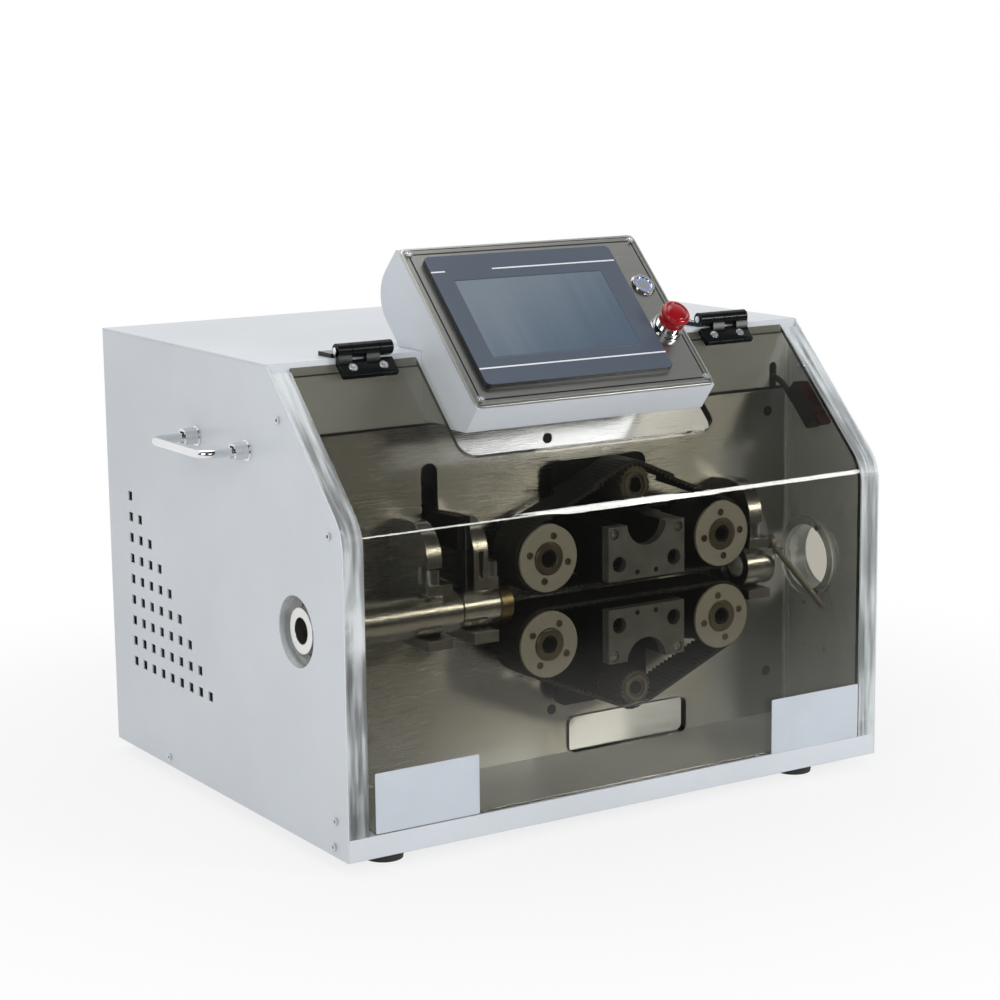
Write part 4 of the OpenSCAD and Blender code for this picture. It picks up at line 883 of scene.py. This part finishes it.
cap = [(0, 19.5), (3.15, 19.5), (3.15, 14.6), (11.6, 14.6), (11.6, 11.2), (12.4, 11.2), (12.8, 11.7),
       (12.8, 13.2), (12.4, 14.4), (12.3, 15.8), (12.8, 17.8), (13.6, 19.4), (14, 20.8), (14, 22.2),
       (13.5, 23.8), (12.4, 24.9), (11.0, 25.4), (10.3, 25.2), (9.7, 24.7), (9.1, 25.0), (8.4, 25.6), (5, 26),
       (0, 26.1)]
gasket = [(14.1, 0.1), (15.2, 0.1), (15.2, 1.2), (14.9, 1.5), (14.1, 1.5), (14.1, 0.1)]
sleeve = [(10.4, 6.3), (10.4, 10.0), (10.6, 10.2), (11.1, 10.2), (11.3, 10.0), (11.3, 6.3), (10.4, 6.3)]
lit = [(5.8, 1.3), (5.8, 1.62), (6.0, 1.7), (7.3, 1.7), (7.6, 1.55), (7.6, 1.3), (5.8, 1.3)]
add_piece("stop_cap_turned", panel_turned(cap, ESTOP), "estop_cap", "red_plastic", ["estop_cap"])
add_piece("stop_gasket", panel_turned(gasket, ESTOP), "cabinet", "rubber")
add_piece("stop_sleeve", panel_turned(sleeve, ESTOP), "cabinet", "chrome")
add_piece("power_lit_ring", panel_turned(lit, POWER), "power_button", "blue_lit")
frame["nodes"]["power_button"].material_slots[0].material = finishes["chrome"]


# Hinges: the moving leaves, countersunk screws on both leaves, and the pins' ends

def slope_yz(s, w):
    """(y, z) of a point s up the slope and w out of the cover."""
    return on_slope((0.0, s, w))[1:]


def moving_leaf(side):
    """Leaf on the cover's slope, with the two webs that run up to its knuckles, and the knuckles' barrels.

    The left leaf is the right one mirrored.
    """
    leaf = plate_levels(HINGE_W, LEAF_L, 1.2, HINGE_X, END_S - LEAF_L / 2, 0.02, LEAF_T, 0.9)
    points, faces = stacked(leaf)
    shells = [(on_slope(points), faces)]
    pin = np.array(HINGE_PIN)
    for k in (1, 3):
        x0 = HINGE_X - HINGE_W / 2 + k * HINGE_W / 4 + KNUCKLE_GAP / 2
        x1 = x0 + HINGE_W / 4 - KNUCKLE_GAP
        web = [slope_yz(END_S - 7, 1.0), slope_yz(END_S, 0.1), pin + (-1.0, -5.2), pin, pin + (-5.6, 1.5),
               slope_yz(END_S - 3.5, LEAF_T + 0.6), slope_yz(END_S - 7, LEAF_T - 0.3)]
        shells.append(extruded(web, x0, x1))
        barrel = [(2.55, 0), (6.1, 0), (6.5, 0.4), (6.5, x1 - x0 - 0.4), (6.1, x1 - x0), (2.55, x1 - x0),
                  (2.55, 0)]
        shells.append(placed(turned(barrel, 64), (x0, *HINGE_PIN), (1, 0, 0)))
    points, faces = joined(shells)
    return points * (side, 1, 1), faces


for side, hand in ((-1, "left"), (1, "right")):
    add_piece(f"{hand}_hinge_moving_leaf", moving_leaf(side), "cover", "black_metal", ["hinge_leaves"])

screws_x = [side * HINGE_X + across for side in (-1, 1) for across in (-15.5, 15.5)]
on_leaves = screw_row(8.6, 0.9, [on_slope((x, END_S - 9.0, LEAF_T)) for x in screws_x], (0, -1, 1))
on_top = screw_row(8.6, 0.9, [(x, 146.5, BODY_H + 4) for x in screws_x], (0, 0, 1))
add_piece("cover_hinge_screws", on_leaves, "cover", "zinc_steel")
add_piece("top_hinge_screws", on_top, "cabinet", "zinc_steel")

pin_end = turned([(0, -0.4), (3.2, -0.4), (3.2, 0.25), (2.7, 0.6), (0, 0.8)], 24)
for side, hand in ((-1, "left"), (1, "right")):
    ends = [placed(pin_end, (side * HINGE_X + end * 28.8, *HINGE_PIN), (end, 0, 0)) for end in (-1, 1)]
    add_piece(f"{hand}_hinge_pin_ends", joined(ends), "cabinet", "zinc_steel", finish="chrome")


# Flush screws of the mounting plate, clamp screws, a dark sheet painted as the shade in the second bracket's
# slot, the inlet's ring, the guide's lever and the window's screws

flush = [(x, PLATE_Y, z) for x in (-264.7, -6.0, 252.7) for z in (325.0, 64.5)]
add_piece("plate_screws", screw_row(10, 0.9, flush, (0, -1, 0)), "cabinet", "black_oxide", ["socket_screws"],
          "screw_dark")
clamps = [(x, 68.5, 216.5) for x in (-167.0, -106.6, 192.0)]
add_piece("clamp_screws", screw_row(13.6, 14, clamps, (0, 0, 1)), "cabinet", "zinc_steel", ["socket_screws"])

# The second bracket's slot is not cut: a thin, tapered dark sheet on the bracket's face paints the slot's
# shade
SLOT_W, SLOT_L = 5.6, 24
slot_shade_rims = [(SLOT_W, SLOT_L, 2.7, 0, 0, at) for at in (0.15, -0.3)]
slot_shade_points, slot_shade_faces = stacked([closing_level(0, 0, 0.15), *slot_shade_rims, closing_level(0, 0, -0.3)])
taper = 0.35 + 0.65 * (slot_shade_points[:, 1] + SLOT_L / 2) / SLOT_L
slot_shade_points = np.stack([-121.2 + slot_shade_points[:, 0] * taper, 60.0 - slot_shade_points[:, 2],
                        230.0 + slot_shade_points[:, 1]], -1)
add_piece("bracket_slot_painted_shade", (slot_shade_points, slot_shade_faces), "cabinet", "black_oxide", finish="screw_dark")

ring = [(32.3, 0), (32, 0.3), (32, 5.7), (32.3, 6), (39.7, 6), (40, 5.7), (40, 0.3), (39.7, 0), (32.3, 0)]
inlet_ring = placed(turned(ring, 96), (WINDOW_IN - 0.15, 79.0, TUBE_Z), (-1, 0, 0))
add_piece("inlet_ring_clear", inlet_ring, "cabinet", "clear_acrylic", ["inlet_ring"])

lever_start, lever_end = np.array([210.1, 63.0, 211.0]), np.array([252.0, 34.0, 146.5])
lever_run = lever_end - lever_start
lever_l = np.linalg.norm(lever_run)
bar = [(0, 5.0), (2.5, 5.0), (2.9, 8.0), (2.9, lever_l - 0.8), (2.3, lever_l), (0, lever_l)]
knob = [(2.6, 0), (6.0, 0), (6.5, 0.5), (6.5, 4.5), (6.0, 5.0), (2.6, 5.0), (2.6, 0)]
lever = joined([placed(turned(bar, 32), lever_start, lever_run),
                placed(turned(knob, 48), (207.6, 63.0, 211.0), (1, 0, 0))])
add_piece("guide_lever_bar", lever, "guide_lever", "polished_steel", ["guide_lever"], "lever_steel")

in_window = [(WINDOW_IN, y, z) for y, z in ((88, 138.5), (87, 97), (56, 97), (90, 374))]
add_piece("window_screws", screw_row(4.4, 1.0, in_window, (-1, 0, 0)), "cabinet", "zinc_steel")


# Rear: the rear panel's screws, and the mains inlet's three contacts

in_rear = [(x, BODY_D, z) for x in (-284, 0, 284) for z in (12, 404)]
add_piece("rear_panel_screws", screw_row(7, 1.8, in_rear, (0, 1, 0)), "cabinet", "zinc_steel")
contacts = []
for x, z in ((200.0 - 7, 68.0), (200.0 + 7, 68.0), (200.0, 72.0)):
    points, faces = stacked(plate_levels(2.0, 5.6, 0.5, x, z, BODY_D - 24, BODY_D - 8, 0.8))
    contacts.append((points[:, [0, 2, 1]], faces))
add_piece("inlet_contacts", joined(contacts), "cabinet", "zinc_steel")


# Interlock lead, with a fine wave in its radius

LEAD = [(266, 91, 336), (266, 97, 336), (265.5, 104, 342.5), (265, 111, 350), (264, 118, 355),
        (263, 126, 357.5), (262, 136, 356), (262, 148, 347), (262, 156, 330), (262, 160, 300),
        (262, 161, 250), (262, 161, 200), (262, 161, 150), (262, 163, 100), (262, 170, 62), (262, 184, 38),
        (262, 200, 28), (262, 216, 28)]
lead = smooth_route(LEAD, 40)
wave = 2.75 + 0.25 * np.cos(np.arange(len(lead)) * 2 * np.pi / 8)
add_piece("interlock_lead", swept(lead, wave, 14), "cabinet", "black_plastic", ["switch_cable"])


# Camera, floor and light

def aim_matrix(place, ahead, across=None):
    """Matrix of a camera or lamp at a place that looks ahead, its own x level unless across gives it."""
    ahead = Vector(ahead).normalized()
    across = (Vector(across) if across else ahead.cross(Vector((0, 0, 1)))).normalized()
    up = across.cross(ahead).normalized()
    across = ahead.cross(up)
    turn = Matrix((across, up, -ahead)).transposed().to_4x4()
    return Matrix.Translation(place) @ turn


# The camera's place in metres and its two directions, as fitted to the cabinet's edges in the photograph
CAMERA_PLACE = (-1.2679, -2.01915, 0.7044)
CAMERA_AHEAD = (0.5274, 0.8296, -0.1834)
CAMERA_ACROSS = (0.8427, -0.5382, -0.011)

camera_data = bpy.data.cameras.new("camera")
camera_data.lens = 89.28
camera_data.sensor_width = 36.0
camera = bpy.data.objects.new("camera", camera_data)
bpy.context.scene.collection.objects.link(camera)
camera.matrix_world = aim_matrix(CAMERA_PLACE, CAMERA_AHEAD, CAMERA_ACROSS)
bpy.context.scene.camera = camera

# Lamps: name, place and target in metres, width and height in metres, watts
LAMPS = [
    ("overhead_softbox", (-0.1, 0.3, 2.3), (0, 0, 0.2), (1.8, 1.4), 16.0),
    ("knee_strip_left", (1.05, -2.2, 0.95), (0.1, -0.2, 0.25), (0.5, 0.13), 2.8),
    ("knee_strip_right", (1.8, -2.2, 0.99), (0.1, -0.2, 0.25), (0.62, 0.36), 10.5),
    ("left_softbox", (-2.3, -1.5, 1.2), (0, 0, 0.2), (1.0, 1.4), 18.0),
    ("right_softbox", (1.43, -2.2, 0.98), (0.0, -0.12, 0.2), (0.3, 0.6), 9.0),
    ("camera_softbox", (-0.75, -2.6, 1.0), (0.0, -0.2, 0.2), (1.0, 1.0), 6.0),
]
for name, place, target, size, watts in LAMPS:
    lamp_data = bpy.data.lights.new(name, "AREA")
    lamp_data.shape = "RECTANGLE"
    lamp_data.size, lamp_data.size_y = size
    lamp_data.energy = watts
    lamp = bpy.data.objects.new(name, lamp_data)
    bpy.context.scene.collection.objects.link(lamp)
    lamp.matrix_world = aim_matrix(place, Vector(target) - Vector(place))

# Mirror rays towards the front see the unlit side of the studio, at this strength
FRONT_DIM = 0.06

# Strength of the world for rays that don't see the background, and half the floor's side in metres
FILL = 0.42
FLOOR_HALF = 12


def white_light(bench, kind, strength):
    """An Emission or Background node that is white."""
    return bench.node(kind, None, {"Color": WHITE, "Strength": strength})


def sees_background(bench):
    """1 for camera, glossy and transmission rays, and 0 for the others."""
    seen = bench.node("LightPath", out="Is Camera Ray")
    for kind in ("Is Glossy Ray", "Is Transmission Ray"):
        seen = seen.at_least(bench.node("LightPath", out=kind))
    return seen


floor_mesh = bpy.data.meshes.new("floor")
floor_corners = [(x * FLOOR_HALF, y * FLOOR_HALF, 0) for x, y in ((-1, -1), (1, -1), (1, 1), (-1, 1))]
floor_mesh.from_pydata(floor_corners, [], [(0, 1, 2, 3)])
floor = bpy.data.objects.new("floor", floor_mesh)
bpy.context.scene.collection.objects.link(floor)

# The floor shows a share of its shadow near the object and is white further out
paper = new_finish("floor_paper")
x, y, _ = paper.axes()
shadow_share = ((x * x + y * y) ** 0.5).fade(0.4, 0.9, 0.22, 0.0)
matt = paper.node("BsdfDiffuse", None, {"Color": (0.86, 0.86, 0.86, 1)})
white_share = sees_background(paper) * (1 - shadow_share)
lit_floor = paper.mixed(white_share, matt, white_light(paper, "Emission", 1.0))
ahead = paper.node("LightPath", out="Is Glossy Ray") * y.fade(-0.3, -0.9)
paper.close("Material", paper.mixed(ahead, lit_floor, white_light(paper, "Emission", FRONT_DIM)))
floor_mesh.materials.append(finishes["floor_paper"])

world = bpy.data.worlds.new("studio")
bpy.context.scene.world = world
world.use_nodes = True
sky = Bench(world.node_tree)
backdrop = sky.mixed(sees_background(sky), white_light(sky, "Background", FILL),
                     white_light(sky, "Background", 1.0))
_, backwards, _ = sky.axes(sky.node("TexCoord", out="Generated"))
ahead = sky.node("LightPath", out="Is Glossy Ray") * backwards.fade(0.1, -0.2)
sky.close("World", sky.mixed(ahead, backdrop, white_light(sky, "Background", FRONT_DIM)))

bpy.context.scene.view_settings.view_transform = "Standard"
